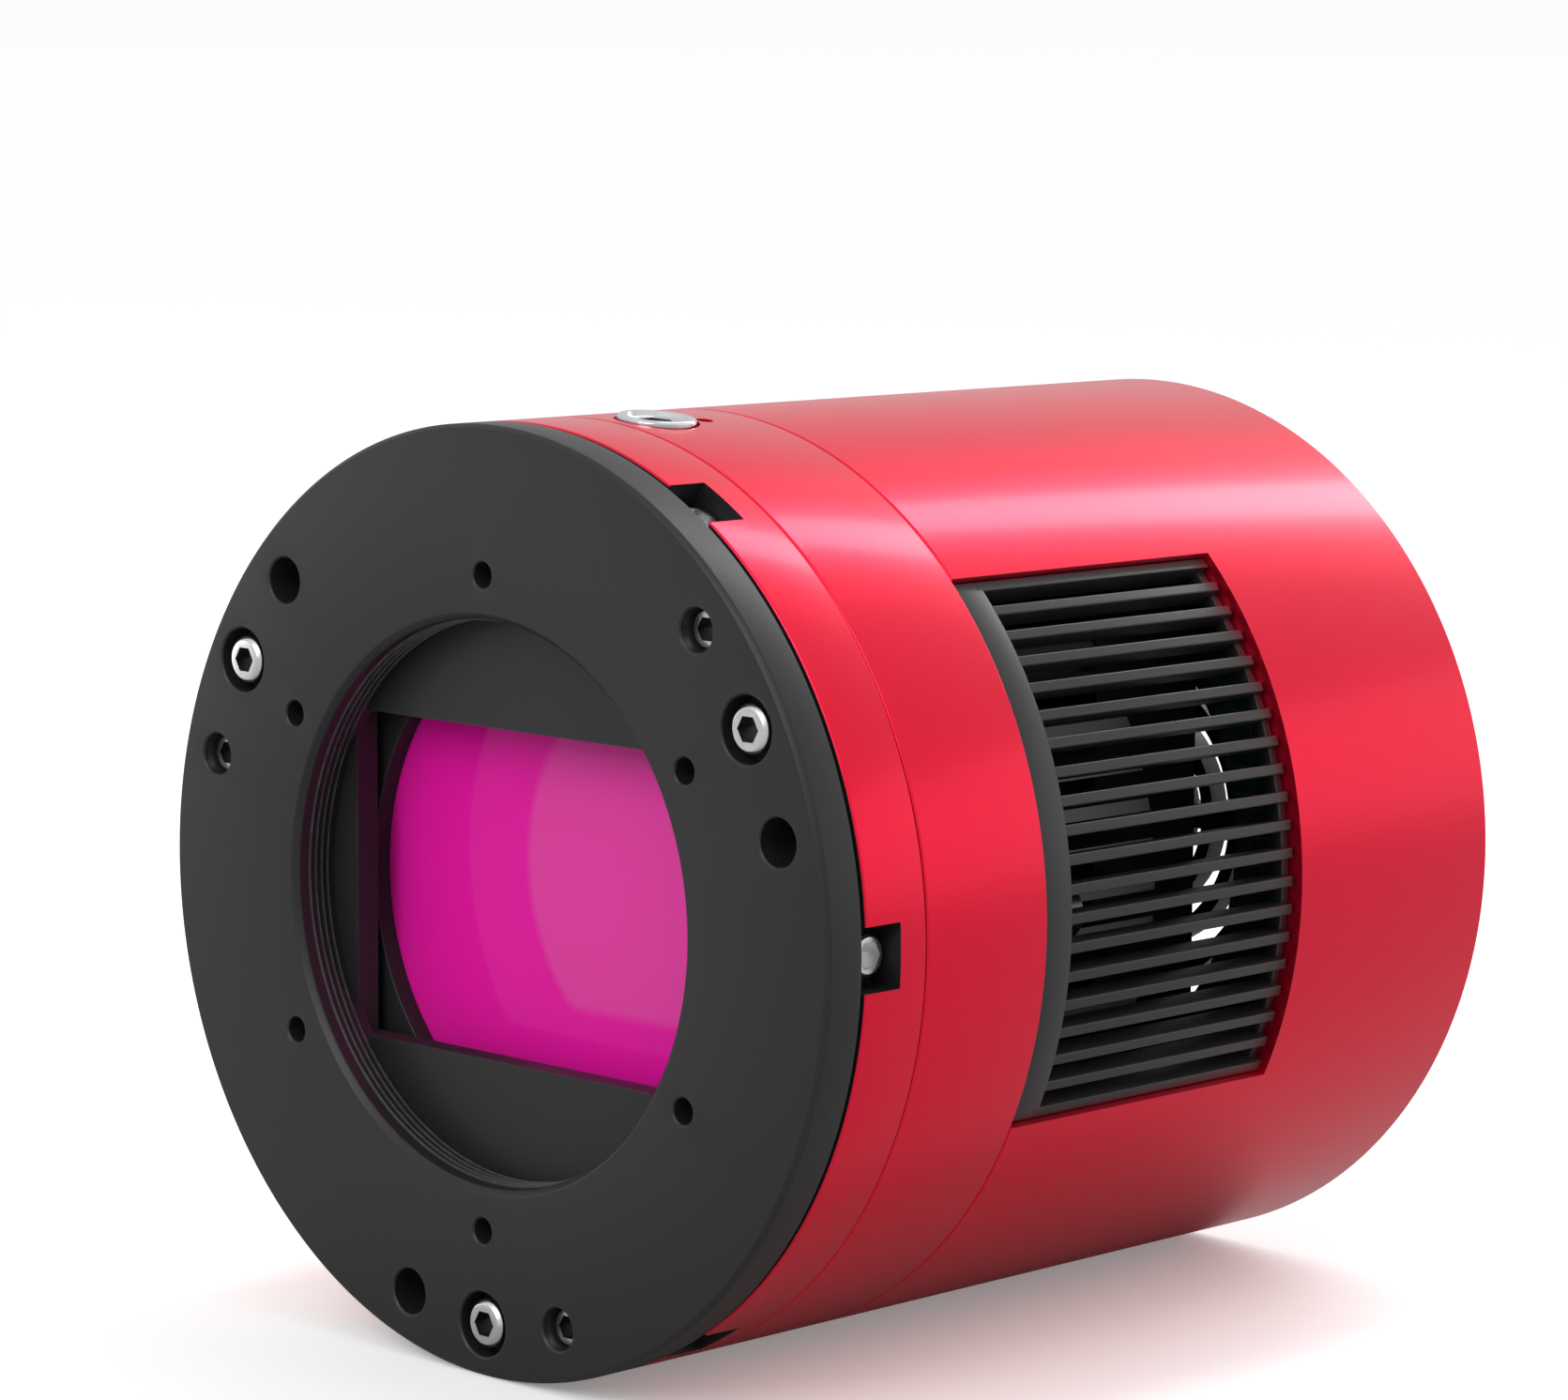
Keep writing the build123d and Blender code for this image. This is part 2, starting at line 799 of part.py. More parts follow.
def make_fan_stator():
    front = y_fan + fan_base_t
    back = y_fan_back - fan_cap_t - 4 * fan_tip_gap
    body = ring(stator_d / 2, bearing_tube_d / 2 + turn_play, front, back)
    gap_r = (stator_d + bearing_tube_d) / 4
    winding_gap = disc((stator_d - bearing_tube_d) / 5, front, back)
    return body - round_axis(winding_gap, gap_r, [45, 135, 225, 315])


def rotor_front():
    return y_fan + fan_base_t + fan_tip_gap


def make_fan_rotor():
    hub_r = fan_hub_d / 2
    back = y_fan_back - fan_tip_gap
    cap_front = back - fan_cap_t
    hub = ring(hub_r, hub_r - fan_cup_wall, rotor_front(), back)
    hub += disc(hub_r, cap_front, back)
    tip_r = fan_duct_r - fan_tip_gap
    inner_r = hub_r - fan_cup_wall / 2
    sweep = ring(tip_r, inner_r, rotor_front(), back)
    middle = (rotor_front() + back) / 2
    blade = Pos((tip_r + inner_r) / 2, middle, 0) * Rot(90 - fan_blade_pitch_deg, 0, 0) * Box(
        tip_r, fan_blade_t, 2 * fan_t
    )
    for index in range(fan_blades):
        hub += turned_to(blade & sweep, index * 360 / fan_blades)
    return hub


def make_fan_magnet():
    outer = fan_hub_d / 2 - fan_cup_wall
    back = y_fan_back - fan_tip_gap - fan_cap_t
    return ring(outer, outer - magnet_t, rotor_front(), back)


def make_fan_shaft():
    back = y_fan_back - fan_tip_gap - fan_cap_t
    return disc(shaft_d / 2, y_fan + fan_base_t / 2 + slip, back)


def make_main_board():
    body = ring(board_r, board_bore_d / 2, y_board, y_ports)
    return body - round_axis(disc(stud_r + slip, y_board, y_ports), post_circle_r, post_angles)


def make_board_chips():
    solids = [plate(w, h, y_ports, y_ports + t, place) for w, h, t, place in chips]
    capacitor = disc(capacitor_d / 2, y_ports, y_ports + capacitor_l)
    solids += round_axis(capacitor, (board_r + board_bore_d / 2) / 2, capacitor_angles)
    return group(solids)


def make_board_posts():
    post = disc(post_d / 2, y_fins, y_board) + disc(stud_r, y_fins - stud_l, y_fins)
    post -= disc(stud_r + turn_play, y_board - stud_l - slip, y_board)
    return group(round_axis(post, post_circle_r, post_angles))


def make_rear_standoffs():
    post = disc(post_d / 2, y_ports, y_rear_cover) + disc(stud_r, y_board - stud_l, y_ports)
    post -= disc(stud_r + turn_play, y_cover_back - cover_screw_l - slip, y_rear_cover)
    return group(round_axis(post, post_circle_r, post_angles))


def wedge(angle_from, angle_to, y_front, y_back):
    """Everything between two angles about the optical axis."""
    reach = 2 * body_r
    angles = [angle_from, (angle_from + angle_to) / 2, angle_to]
    corners = [(0, 0)] + [polar(reach, angle) for angle in angles]
    return slab(Polygon(*corners, align=None), y_front, y_back)


def make_rear_shell():
    c = seam_chamfer
    lip_front = y_rear_cover - lip_t
    body = turned(
        (shell_r_in, y_seam_2),
        (body_r - c, y_seam_2),
        (body_r, y_seam_2 + c),
        (body_r, y_end - 2 * c),
        (body_r - 2 * c, y_end),
        (shell_r_in, y_end),
        (shell_r_in, y_rear_cover),
        (shell_r_in - lip_w, y_rear_cover),
        (shell_r_in - lip_w, lip_front),
        (shell_r_in, lip_front - lip_w),
    )
    opening = wedge(window_bottom_deg, window_top_deg, y_seam_2, y_side_window)
    return body - [opening, mirror(opening, about=Plane.YZ)]


def make_right_grille():
    gap_deg = math.degrees(slip / body_r)
    low = window_bottom_deg + gap_deg
    high = window_top_deg - gap_deg
    back = y_side_window - slip
    panel = ring(grille_r_out, grille_r_in, y_seam_2, back)
    tongue_r = shell_r_in - slip
    tongue_front = back - grille_tongue_l
    tongue_back = back + grille_tongue_l
    tongue = ring(tongue_r, tongue_r - grille_tongue_t, tongue_front, tongue_back)
    body = (panel + tongue) & wedge(low, high, y_seam_2, tongue_back)
    pitch_deg = (high - low - 2 * grille_margin_deg) / (grille_slots - slat_share)
    slot_deg = pitch_deg * (1 - slat_share)
    slot_w = math.radians(slot_deg) * grille_r_out
    front = y_seam_2 + grille_band
    slot_l = back - grille_rear_band - front
    slot = Pos(grille_r_out, front, 0) * Box(
        3 * grille_t, slot_l, slot_w, align=(Align.CENTER, Align.MIN, Align.CENTER)
    )
    first = low + grille_margin_deg + slot_deg / 2
    return body - [turned_to(slot, first + index * pitch_deg) for index in range(grille_slots)]


def make_rear_cover():
    body = disc(shell_r_in - slip, y_rear_cover, y_cover_back)
    spokes = Rectangle(2 * vent_r, vent_spoke_w) + Rectangle(vent_spoke_w, 2 * vent_r)
    outer = vent_r
    while outer - vent_slot_w > vent_hub_r:
        slots = Circle(outer) - Circle(outer - vent_slot_w) - spokes
        body -= slab(slots, y_rear_cover, y_cover_back)
        outer -= vent_slot_w + vent_bar_w
    play = 2 * port_play
    body -= slab(Pos(*usb3_place) * usb3_outline(play), y_rear_cover, y_cover_back)
    for place in usb2_places:
        body -= plate(usb2_w + play, usb2_h + play, y_rear_cover, y_cover_back, place)
    body -= plate(dc_w + play, dc_h + play, y_rear_cover, y_cover_back, dc_place)
    hole = countersunk(stud_r + slip, slip)
    return body - round_axis(hole, post_circle_r, post_angles)


def countersunk(shank_r, extra):
    """Cone and shank of a flat-head screw that ends flush with the rear cover."""
    head_r = m3_head_d / 2 + extra
    front = y_cover_back - cover_screw_l
    neck = y_cover_back - cover_screw_head_h
    return turned(
        (0, front), (shank_r, front), (shank_r, neck), (head_r, y_cover_back), (0, y_cover_back)
    )


def make_rear_cover_screws():
    socket = slab(hexagon(socket_af), y_cover_back - socket_depth, y_cover_back)
    screw = countersunk(stud_r, 0) - socket
    return group(round_axis(screw, post_circle_r, post_angles))


def usb3_outline(extra):
    """Type B outline: a square with its two upper corners cut."""
    w = usb3_w / 2 + extra / 2
    h = usb3_h / 2 + extra / 2
    k = usb3_corner
    corners = [(-w, -h), (w, -h), (w, h - k), (w - k, h), (-w + k, h), (-w, h - k)]
    return Polygon(*corners, align=None)


def make_usb3_port():
    body = slab(Pos(*usb3_place) * usb3_outline(0), y_ports, y_port_back)
    throat = Pos(*usb3_place) * usb3_outline(-2 * usb_wall)
    return body - slab(throat, y_port_back - usb_throat, y_port_back)


def make_usb2_ports():
    width = usb2_w - 2 * usb_wall
    height = usb2_h - 2 * usb_wall
    ports = []
    for place in usb2_places:
        body = plate(usb2_w, usb2_h, y_ports, y_port_back, place)
        throat = plate(width, height, y_port_back - usb_throat, y_port_back, place)
        ports.append(body - throat)
    return group(ports)


def make_usb_tongues():
    front = y_port_back - usb_throat
    back = y_port_back - tongue_recess
    tongues = [plate(usb3_tongue_w, usb3_tongue_h, front, back, usb3_place)]
    for x, z in usb2_places:
        place = (x, z + usb2_tongue_up)
        tongues.append(plate(usb2_tongue_w, usb2_tongue_h, front, back, place))
    return group(tongues)


def make_dc_jack():
    body = plate(dc_w, dc_h, y_ports, y_port_back, dc_place)
    bore = disc(dc_bore_d / 2, y_port_back - dc_throat, y_port_back)
    return body - Pos(dc_place[0], 0, dc_place[1]) * bore


def make_dc_pin():
    pin = disc(dc_pin_d / 2, y_port_back - dc_throat, y_port_back - tongue_recess)
    return Pos(dc_place[0], 0, dc_place[1]) * pin


parts = {
    "tilt_plate": make_tilt_plate(),
    "light_seal": make_light_seal(),
    "front_housing": make_front_housing(),
    "side_screws": make_side_screws(),
    "front_screws": make_front_screws(),
    "chamber_cover": make_chamber_cover(),
    "cover_oring": make_cover_oring(),
    "aperture_ring": make_aperture_ring(),
    "window": make_window(),
    "window_heater": make_window_heater(),
    "window_oring": make_window_oring(),
    "window_retainer": make_window_retainer(),
    "middle_housing": make_middle_housing(),
    "chamber_oring": make_chamber_oring(),
    "air_plug": make_air_plug(),
    "plug_oring": make_plug_oring(),
    "desiccant_tablets": make_desiccant_tablets(),
    "sensor_glass": make_sensor_glass(),
    "sensor_die": make_sensor_die(),
    "sensor_package": make_sensor_package(),
    "sensor_board": make_sensor_board(),
    "board_spacers": make_board_spacers(),
    "cold_plate": make_cold_plate(),
    "tec_ceramics": make_tec_ceramics(),
    "tec_pellets": make_tec_pellets(),
    "insulation": make_insulation(),
    "heat_sink": make_heat_sink(),
    "housing_screws": make_housing_screws(),
    "feedthrough": make_feedthrough(),
    "sensor_flex": make_sensor_flex(),
    "fan_frame": make_fan_frame(),
    "fan_screws": make_fan_screws(),
    "fan_bearings": make_fan_bearings(),
    "fan_stator": make_fan_stator(),
    "fan_rotor": make_fan_rotor(),
    "fan_magnet": make_fan_magnet(),
    "fan_shaft": make_fan_shaft(),
    "main_board": make_main_board(),
    "board_chips": make_board_chips(),
    "board_posts": make_board_posts(),
    "rear_standoffs": make_rear_standoffs(),
    "rear_shell": make_rear_shell(),
    "right_grille": make_right_grille(),
    "left_grille": mirror(make_right_grille(), about=Plane.YZ),
    "rear_cover": make_rear_cover(),
    "rear_cover_screws": make_rear_cover_screws(),
    "usb3_port": make_usb3_port(),
    "usb2_ports": make_usb2_ports(),
    "usb_tongues": make_usb_tongues(),
    "dc_jack": make_dc_jack(),
    "dc_pin": make_dc_pin(),
}
for number, angle in enumerate(pull_angles, start=1):
    parts[f"pull_screw_{number}"] = make_pull_screw(angle)
for number, angle in enumerate(push_angles, start=1):
    parts[f"push_screw_{number}"] = make_push_screw(angle)

for name, shape in parts.items():
    export_step(shape, f"parts/{name}.step")
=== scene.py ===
import json
import math

import bmesh
import bpy
import numpy as np
from mathutils import Matrix, Vector


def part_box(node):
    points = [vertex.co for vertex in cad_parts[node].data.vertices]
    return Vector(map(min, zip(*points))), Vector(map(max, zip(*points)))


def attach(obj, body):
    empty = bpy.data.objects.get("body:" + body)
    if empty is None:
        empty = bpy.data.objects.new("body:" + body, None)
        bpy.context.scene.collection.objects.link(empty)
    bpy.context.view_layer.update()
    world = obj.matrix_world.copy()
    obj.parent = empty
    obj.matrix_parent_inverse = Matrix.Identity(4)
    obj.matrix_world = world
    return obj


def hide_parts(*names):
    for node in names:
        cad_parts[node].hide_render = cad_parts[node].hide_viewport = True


# Looks of a cooled astronomy camera. Metres, in the frame's axes: the optical axis is Y, with the
# front face at 0 and the body behind it, Z is up. Angles are in degrees from +X towards +Z.
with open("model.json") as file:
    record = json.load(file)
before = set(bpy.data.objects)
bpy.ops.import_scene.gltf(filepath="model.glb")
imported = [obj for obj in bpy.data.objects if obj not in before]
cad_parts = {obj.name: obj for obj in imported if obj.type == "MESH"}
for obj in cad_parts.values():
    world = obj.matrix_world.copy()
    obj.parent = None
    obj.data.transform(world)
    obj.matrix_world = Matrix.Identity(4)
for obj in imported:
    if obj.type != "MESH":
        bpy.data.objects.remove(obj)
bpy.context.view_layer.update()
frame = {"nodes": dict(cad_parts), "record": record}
record = frame["record"]
nodes = frame["nodes"]
mounts = {mount["name"]: mount for mount in record["mounts"]}
slot_of = {part["node"]: part["material_slot"] for part in record["subparts"]}
body_of = {node: body for body, held in record["behaviour"]["bodies"].items() for node in held}

MM = 0.001

# Steps round the body, the side openings, the grilles, the air plug and small holes
ROUND_STEPS = 256
OPENING_STEPS = 64
GRILLE_STEPS = 96
PLUG_STEPS = 64
HOLE_STEPS = 40
HEX_SIDES = 6

# Shapes: the radius below which a point is on the axis, how far a cutter stands out of its piece, the
# share of a side that a rounding may take, and the length of a drill's tip as a share of its radius
ON_AXIS = 1e-7
CLEAR = 1 * MM
CORNER_REACH = 0.45
DRILL_TIP = 0.5

# Shading: the angle from which an edge is sharp, and how far a round face may lean along its turn
SHARP_ANGLE = 32
ROUND_LEAN = 0.03
TINY = 1e-9


def low(node):
    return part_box(node)[0]


def high(node):
    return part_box(node)[1]


def middle(node):
    return (low(node) + high(node)) / 2


def half_width(node):
    return (high(node).x - low(node).x) / 2


def front_centre(node):
    """The move that takes a piece made at the origin to the middle of a node's front end."""
    return Matrix.Translation((middle(node).x, low(node).y, middle(node).z))


def air_plug_place():
    """The plug's middle, its angle about the optical axis and its head's radius."""
    plug = middle("air_plug")
    angle = math.degrees(math.atan2(plug.z, plug.x))
    return plug, angle, (high("air_plug").y - low("air_plug").y) / 2


# Sizes and places taken from the frame
body_r = high("tilt_plate").x
hub_back = high("tilt_plate").y
housing_front = low("front_housing").y
seam_1 = high("front_housing").y
seam_2 = low("rear_shell").y
body_back = high("rear_shell").y
bore_r = mounts["m54_thread"]["dims"]["r_mm"] * MM
face_hole_r = mounts["face_holes"]["dims"]["hole_r_mm"] * MM
face_circle_r = mounts["face_holes"]["dims"]["pcd_mm"] / 2 * MM
adapter_hole_r = mounts["adapter_holes"]["dims"]["hole_r_mm"] * MM
adjust_r = mounts["adapter_holes"]["dims"]["pcd_mm"] / 2 * MM
grille_r = high("right_grille").x
grille_back = high("right_grille").y

# Where the screws and holes stand round the axis
FACE_HOLE_ANGLES = [30, 90, 150, 210, 270, 330]
PULL_ANGLES = [30, 150, 270]
PUSH_ANGLES = [45, 165, 285]
ADAPTER_ANGLES = [15, 135, 255]
NOTCHES = 6
NOTCH_STEP = 360 / NOTCHES

# Front plate
TILT_GAP = 0.6 * MM
PLATE_EDGE = 0.45 * MM
BORE_EDGE = 0.6 * MM
HUB_WALL = 6.4 * MM
THREAD_PITCH = 0.75 * MM
THREAD_DEPTH = 0.22 * MM
THREAD_TURNS = 4
THREAD_START = 1.4 * MM
MOUTH_EDGE = 0.16 * MM
FACE_HOLE_DEPTH = 4.2 * MM
COUNTERBORE_R = 3.15 * MM
COUNTERBORE_DEPTH = 2.8 * MM
SCREW_PLAY = 0.05 * MM
HEAD_SEAT = 1.0 * MM
PLATE_EASE = 0.12 * MM

# Screws: shares of the head's or the shank's radius, and sockets as (across flats, depth)
HEAD_CHAMFER = 0.16
HEAD_SHANK = 0.54
TIP_LENGTH = 0.3
TIP_SHARE = 0.7
HEAD_EASE = 0.07 * MM
PULL_SOCKET = (2.3 * MM, 1.5 * MM)
PUSH_SOCKET = (2.1 * MM, 1.4 * MM)
PUSH_CHAMFER = 0.17
PUSH_EASE = 0.05 * MM
SIDE_SOCKET = (2.4 * MM, 1.5 * MM)
SIDE_HEAD_R = 2.0 * MM
SIDE_HEAD_H = 2.0 * MM
SIDE_SHANK_R = 1.0 * MM
SIDE_LENGTH = 6.0 * MM

# Housings. A face whose normal has a Y below FACES_FRONT looks forward
HOUSING_EASE = 0.05 * MM
INSULATION_GAP = 1.0 * MM
FACES_FRONT = -0.99
SEAM_EDGE = 0.14 * MM
SEAM_GAP = 0.07 * MM
BACK_EDGE = 0.5 * MM
SHELL_WALL = 2.6 * MM
NOTCH_WIDTH = 6.0 * MM
NOTCH_LENGTH = 4.4 * MM
NOTCH_DEPTH = 3.8 * MM
LIP_LENGTH = 1.5 * MM
LIP_DEPTH = 1.0 * MM

# Side openings that the grilles close, from and to these angles, and the gap round a fitted piece
OPENING_TOP = 43.8
OPENING_BOTTOM = -25.2
OPENING_CLEAR = 3.0 * MM
FIT_GAP = 0.1 * MM

# The air plug's well in the middle housing, and the small hole beside it
WELL_CLEAR = 2.0 * MM
WELL_MOUTH = 0.5 * MM
WELL_GAP = 0.3 * MM
WELL_MOUTH_DEPTH = 0.12 * MM
WELL_DEPTH = 0.7 * MM
WELL_SEAT = 1.0 * MM
WELL_BORE_DEPTH = 9.0 * MM
BLEED_R = 0.85 * MM
BLEED_DEPTH = 2.0 * MM
BLEED_TIP = 2.4 * MM
BLEED_ANGLE = 1.8
BLEED_BEHIND = 4.9 * MM

# Air plug: a dished head on a narrower neck
PLUG_PROUD = 0.4 * MM
PLUG_HEAD_H = 1.0 * MM
PLUG_DISH = 0.45 * MM
PLUG_NECK = 1.1 * MM
PLUG_RIM = 0.85 * MM
PLUG_EDGE = 0.2 * MM
PLUG_LENGTH = 8.0 * MM
PLUG_EASE = 0.06 * MM
PLUG_SOCKET = (3.0 * MM, 2.2 * MM)

# Grille. Its margin is in degrees, and SLAT_SHARE is the slat's part of a slat and a slot
GRILLE_DEPTH = 2.3 * MM
GRILLE_BAND = 4.1 * MM
GRILLE_REAR_BAND = 1.0 * MM
GRILLE_SLOTS = 19
GRILLE_MARGIN = 1.4
SLAT_SHARE = 0.38
SLAT_EASE = 0.16 * MM
SLAT_INTO_BAND = 0.35
SLAT_SINK = 0.01 * MM
GRILLE_FRONT_GAP = 0.02 * MM
GRILLE_REAR_SINK = 0.9 * MM
GRILLE_TONGUE = 3.0 * MM
RIM_EASE = 0.12 * MM

# Chamber cover behind the bore, aperture ring and window
MASK_HEIGHT = 31.8 * MM
MASK_WIDTH = 46.4 * MM
COVER_FLOOR = 2.5 * MM
COVER_RIM_GAP = 0.5 * MM
COVER_EASE = 0.08 * MM
POCKET_WALL = 3.8 * MM
APERTURE_WIDTH = 5.0 * MM
APERTURE_EASE = 0.15 * MM
GLASS_EASE = 0.2 * MM

# Painted light on the window: a paler disc with its lower part cut off, which stands for the light through
# the round aperture falling on the sensor behind
LIT_CENTRE = 14.0 * MM
LIT_RISE = 3.0 * MM
LIT_RADIUS = 19.5 * MM
LIT_BLUR = 1.0 * MM
LIT_BOTTOM = -11.4 * MM

# Room: its white to the camera, and its light, which goes from the first to the second strength
# between two heights of the direction that it comes from
ROOM_WHITE = (0.98, 0.98, 0.98)
ROOM_LIGHT = (0.6, 1.05)
ROOM_HEIGHTS = (-0.5, 0.8)

# Floor: its half size, its tones as light falls on the object, and its colour and glow to the camera
FLOOR_REACH = 40
FLOOR_GAP = 0.02 * MM
FLOOR_ROUGHNESS = 0.75
FLOOR_TONES = ((0.46, 0.46, 0.46), (0.48, 0.48, 0.48))
FLOOR_WHITE = (0.97, 0.97, 0.97)
FLOOR_GLOW = (0.22, 0.22, 0.22)

# Soft boxes: direction from the object, distance, width, height and power in watts
LIGHTS = {
    "top_softbox": ((-0.04, 0.7, 0.71), 0.9, 0.13, 1.2, 3.4),
    "front_fill": ((0.2, -0.85, 0.55), 1.2, 0.7, 0.7, 5.0),
    "left_card": ((-0.85, -0.5, -0.2), 1.0, 0.5, 0.5, 2.4),
    "side_card": ((0.7, 0.68, 0.06), 1.0, 1.1, 0.6, 0.85),
}
LIGHT_TARGET = Vector((0, 0.05, 0))

# Camera: its place, the angles it is seen at from the object, and its lens in millimetres
CAMERA_PLACE = (0.36110, -0.32721, 0.08237)
CAMERA_AZIMUTH = 44.516
CAMERA_ELEVATION = 7.358
CAMERA_ROLL = 0.386
CAMERA_LENS = 121.344
CAMERA_SENSOR = 36
CAMERA_REACH = 20

# A mirror across the optical axis, and places that follow from the above
MIRROR = Matrix.Scale(-1, 4, (1, 0, 0))
notch_floor_r = body_r - NOTCH_DEPTH
opening_back = grille_back - GRILLE_TONGUE + FIT_GAP


def plane_point(radius, angle, distance=0.0):
    """A point on a circle about the optical axis."""
    turn = math.radians(angle)
    return Vector((radius * math.cos(turn), distance, radius * math.sin(turn)))


# ---------------------------------------------------------------- shapes


def turned(outline, steps=ROUND_STEPS):
    """A closed outline of (radius, distance) corners turned about the optical axis."""
    shape = bmesh.new()
    rings = []
    for radius, distance in outline:
        if radius < ON_AXIS:
            rings.append([shape.verts.new((0, distance, 0))] * steps)
            continue
        points = [plane_point(radius, 360 * step / steps, distance) for step in range(steps)]
        rings.append([shape.verts.new(point) for point in points])
    for here, there in zip(rings, rings[1:] + rings[:1]):
        for step in range(steps):
            after = (step + 1) % steps
            corners = list(dict.fromkeys([here[step], here[after], there[after], there[step]]))
            if len(corners) > 2:
                shape.faces.new(corners)
    bmesh.ops.recalc_face_normals(shape, faces=shape.faces)
    return shape


def eased(outline, ease, steps=3):
    """The same outline with every corner off the axis rounded."""
    soft = []
    for index, corner in enumerate(outline):
        corner = Vector(corner)
        if corner.x < ON_AXIS:
            soft.append(tuple(corner))
            continue
        back = Vector(outline[index - 1]) - corner
        ahead = Vector(outline[(index + 1) % len(outline)]) - corner
        reach = min(ease, CORNER_REACH * back.length, CORNER_REACH * ahead.length)
        start = corner + back.normalized() * reach
        end = corner + ahead.normalized() * reach
        for step in range(steps + 1):
            t = step / steps
            soft.append(tuple((1 - t) ** 2 * start + 2 * t * (1 - t) * corner + t * t * end))
    return soft


def block(width, height, front, back):
    """A box across the optical axis."""
    shape = bmesh.new()
    size = Matrix.Diagonal((width, back - front, height, 1))
    where = Matrix.Translation((0, (front + back) / 2, 0))
    bmesh.ops.create_cube(shape, size=1, matrix=where @ size)
    return shape


def arc_block(r_in, r_out, angle_from, angle_to, front, back, steps):
    """A block bent about the optical axis."""
    shape = bmesh.new()
    sections = []
    for step in range(steps + 1):
        angle = angle_from + (angle_to - angle_from) * step / steps
        corners = [(r_in, front), (r_out, front), (r_out, back), (r_in, back)]
        sections.append([shape.verts.new(plane_point(r, angle, y)) for r, y in corners])
    for here, there in zip(sections, sections[1:]):
        for side in range(4):
            after = (side + 1) % 4
            shape.faces.new([here[side], here[after], there[after], there[side]])
    shape.faces.new(sections[0])
    shape.faces.new(sections[-1])
    bmesh.ops.recalc_face_normals(shape, faces=shape.faces)
    return shape


def hexagon(across_flats, front, back):
    """A hexagonal bar along the optical axis."""
    corner_r = across_flats / 2 / math.cos(math.pi / HEX_SIDES)
    return turned([(0, front), (corner_r, front), (corner_r, back), (0, back)], HEX_SIDES)


def hole(radius, depth):
    """What a drill with a countersunk mouth takes away, from the front face back."""
    return turned(
        [
            (0, -CLEAR),
            (radius + MOUTH_EDGE + CLEAR, -CLEAR),
            (radius, MOUTH_EDGE),
            (radius, depth),
            (0, depth + radius * DRILL_TIP),
        ],
        HOLE_STEPS,
    )


def gathered(shapes):
    """Several shapes as one."""
    whole = bmesh.new()
    for shape in shapes:
        carrier = bpy.data.meshes.new("carrier")
        shape.to_mesh(carrier)
        shape.free()
        whole.from_mesh(carrier)
        bpy.data.meshes.remove(carrier)
    return whole


def placed(shape, matrix):
    """A copy of a shape at another place."""
    copy = shape.copy()
    bmesh.ops.transform(copy, matrix=matrix, verts=copy.verts)
    return copy


def on_circle(shape, radius, angles):
    """Copies of a shape made on the optical axis, on a circle about it."""
    return [placed(shape, Matrix.Translation(plane_point(radius, angle))) for angle in angles]


def inward(angle, radius, distance):
    """The place of a shape made on the optical axis that is turned to point in along a radius."""
    out = plane_point(1, angle)
    side = Vector((-out.z, 0, out.x))
    turn = Matrix((Vector((0, 1, 0)), -out, side)).transposed().to_4x4()
    return Matrix.Translation(plane_point(radius, angle, distance)) @ turn


# ---------------------------------------------------------------- pieces


def plain_object(name, shape, *finishes):
    mesh = bpy.data.meshes.new(name)
    shape.to_mesh(mesh)
    shape.free()
    for finish in finishes:
        mesh.materials.append(finish)
    thing = bpy.data.objects.new(name, mesh)
    bpy.context.scene.collection.objects.link(thing)
    return thing


def settle(thing):
    """Makes an object with modifiers a plain mesh."""
    bpy.context.view_layer.update()
    graph = bpy.context.evaluated_depsgraph_get()
    mesh = bpy.data.meshes.new_from_object(thing.evaluated_get(graph))
    thing.modifiers.clear()
    thing.data = mesh
    return thing


def carve(thing, cutter, lining=None):
    """Cuts a closed shape out of a piece. The new walls take the lining's material, if there is one."""
    tool = plain_object("cutter", cutter, *([lining] if lining else []))
    cut = thing.modifiers.new("cut", "BOOLEAN")
    cut.operation = "DIFFERENCE"
    cut.solver = "EXACT"
    cut.material_mode = "TRANSFER" if lining else "INDEX"
    cut.object = tool
    settle(thing)
    bpy.data.objects.remove(tool)
    return thing


def bevelled(thing, width, segments):
    """Rounds the sharp edges of a piece."""
    rounding = thing.modifiers.new("rounding", "BEVEL")
    rounding.width = width
    rounding.segments = segments
    rounding.limit_method = "ANGLE"
    rounding.angle_limit = math.radians(SHARP_ANGLE)
    return settle(thing)


def values_of(items, attribute, width=3, kind=np.float32):
    """One attribute of a mesh's items, a row for each."""
    values = np.zeros(len(items) * width, kind)
    items.foreach_get(attribute, values)
    return values.reshape(-1, width)


def unit(vectors):
    return vectors / np.maximum(np.linalg.norm(vectors, axis=1, keepdims=True), TINY)


def round_the_axis(points):
    """At each point, the direction that turns about the optical axis."""
    return unit(np.stack([-points[:, 2], np.zeros(len(points)), points[:, 0]], axis=1))


def smooth(thing):
    """Shades by angle, and makes what is turned about the optical axis exactly round."""
    mesh = thing.data
    mesh.shade_smooth()
    mesh.set_sharp_from_angle(angle=math.radians(SHARP_ANGLE))
    normals = values_of(mesh.corner_normals, "vector").astype(float)
    corner_of = values_of(mesh.loops, "vertex_index", 1, np.int32)[:, 0]
    sizes = values_of(mesh.polygons, "loop_total", 1, np.int32)[:, 0]
    face_normals = np.repeat(values_of(mesh.polygons, "normal"), sizes, axis=0)
    centres = np.repeat(values_of(mesh.polygons, "center"), sizes, axis=0)
    turned_face = np.abs((face_normals * round_the_axis(centres)).sum(1)) < ROUND_LEAN
    across = round_the_axis(values_of(mesh.vertices, "co")[corner_of].astype(float))
    straight = unit(normals - across * (normals * across).sum(1, keepdims=True))
    normals[turned_face] = straight[turned_face]
    mesh.normals_split_custom_set(normals.tolist())
    return thing


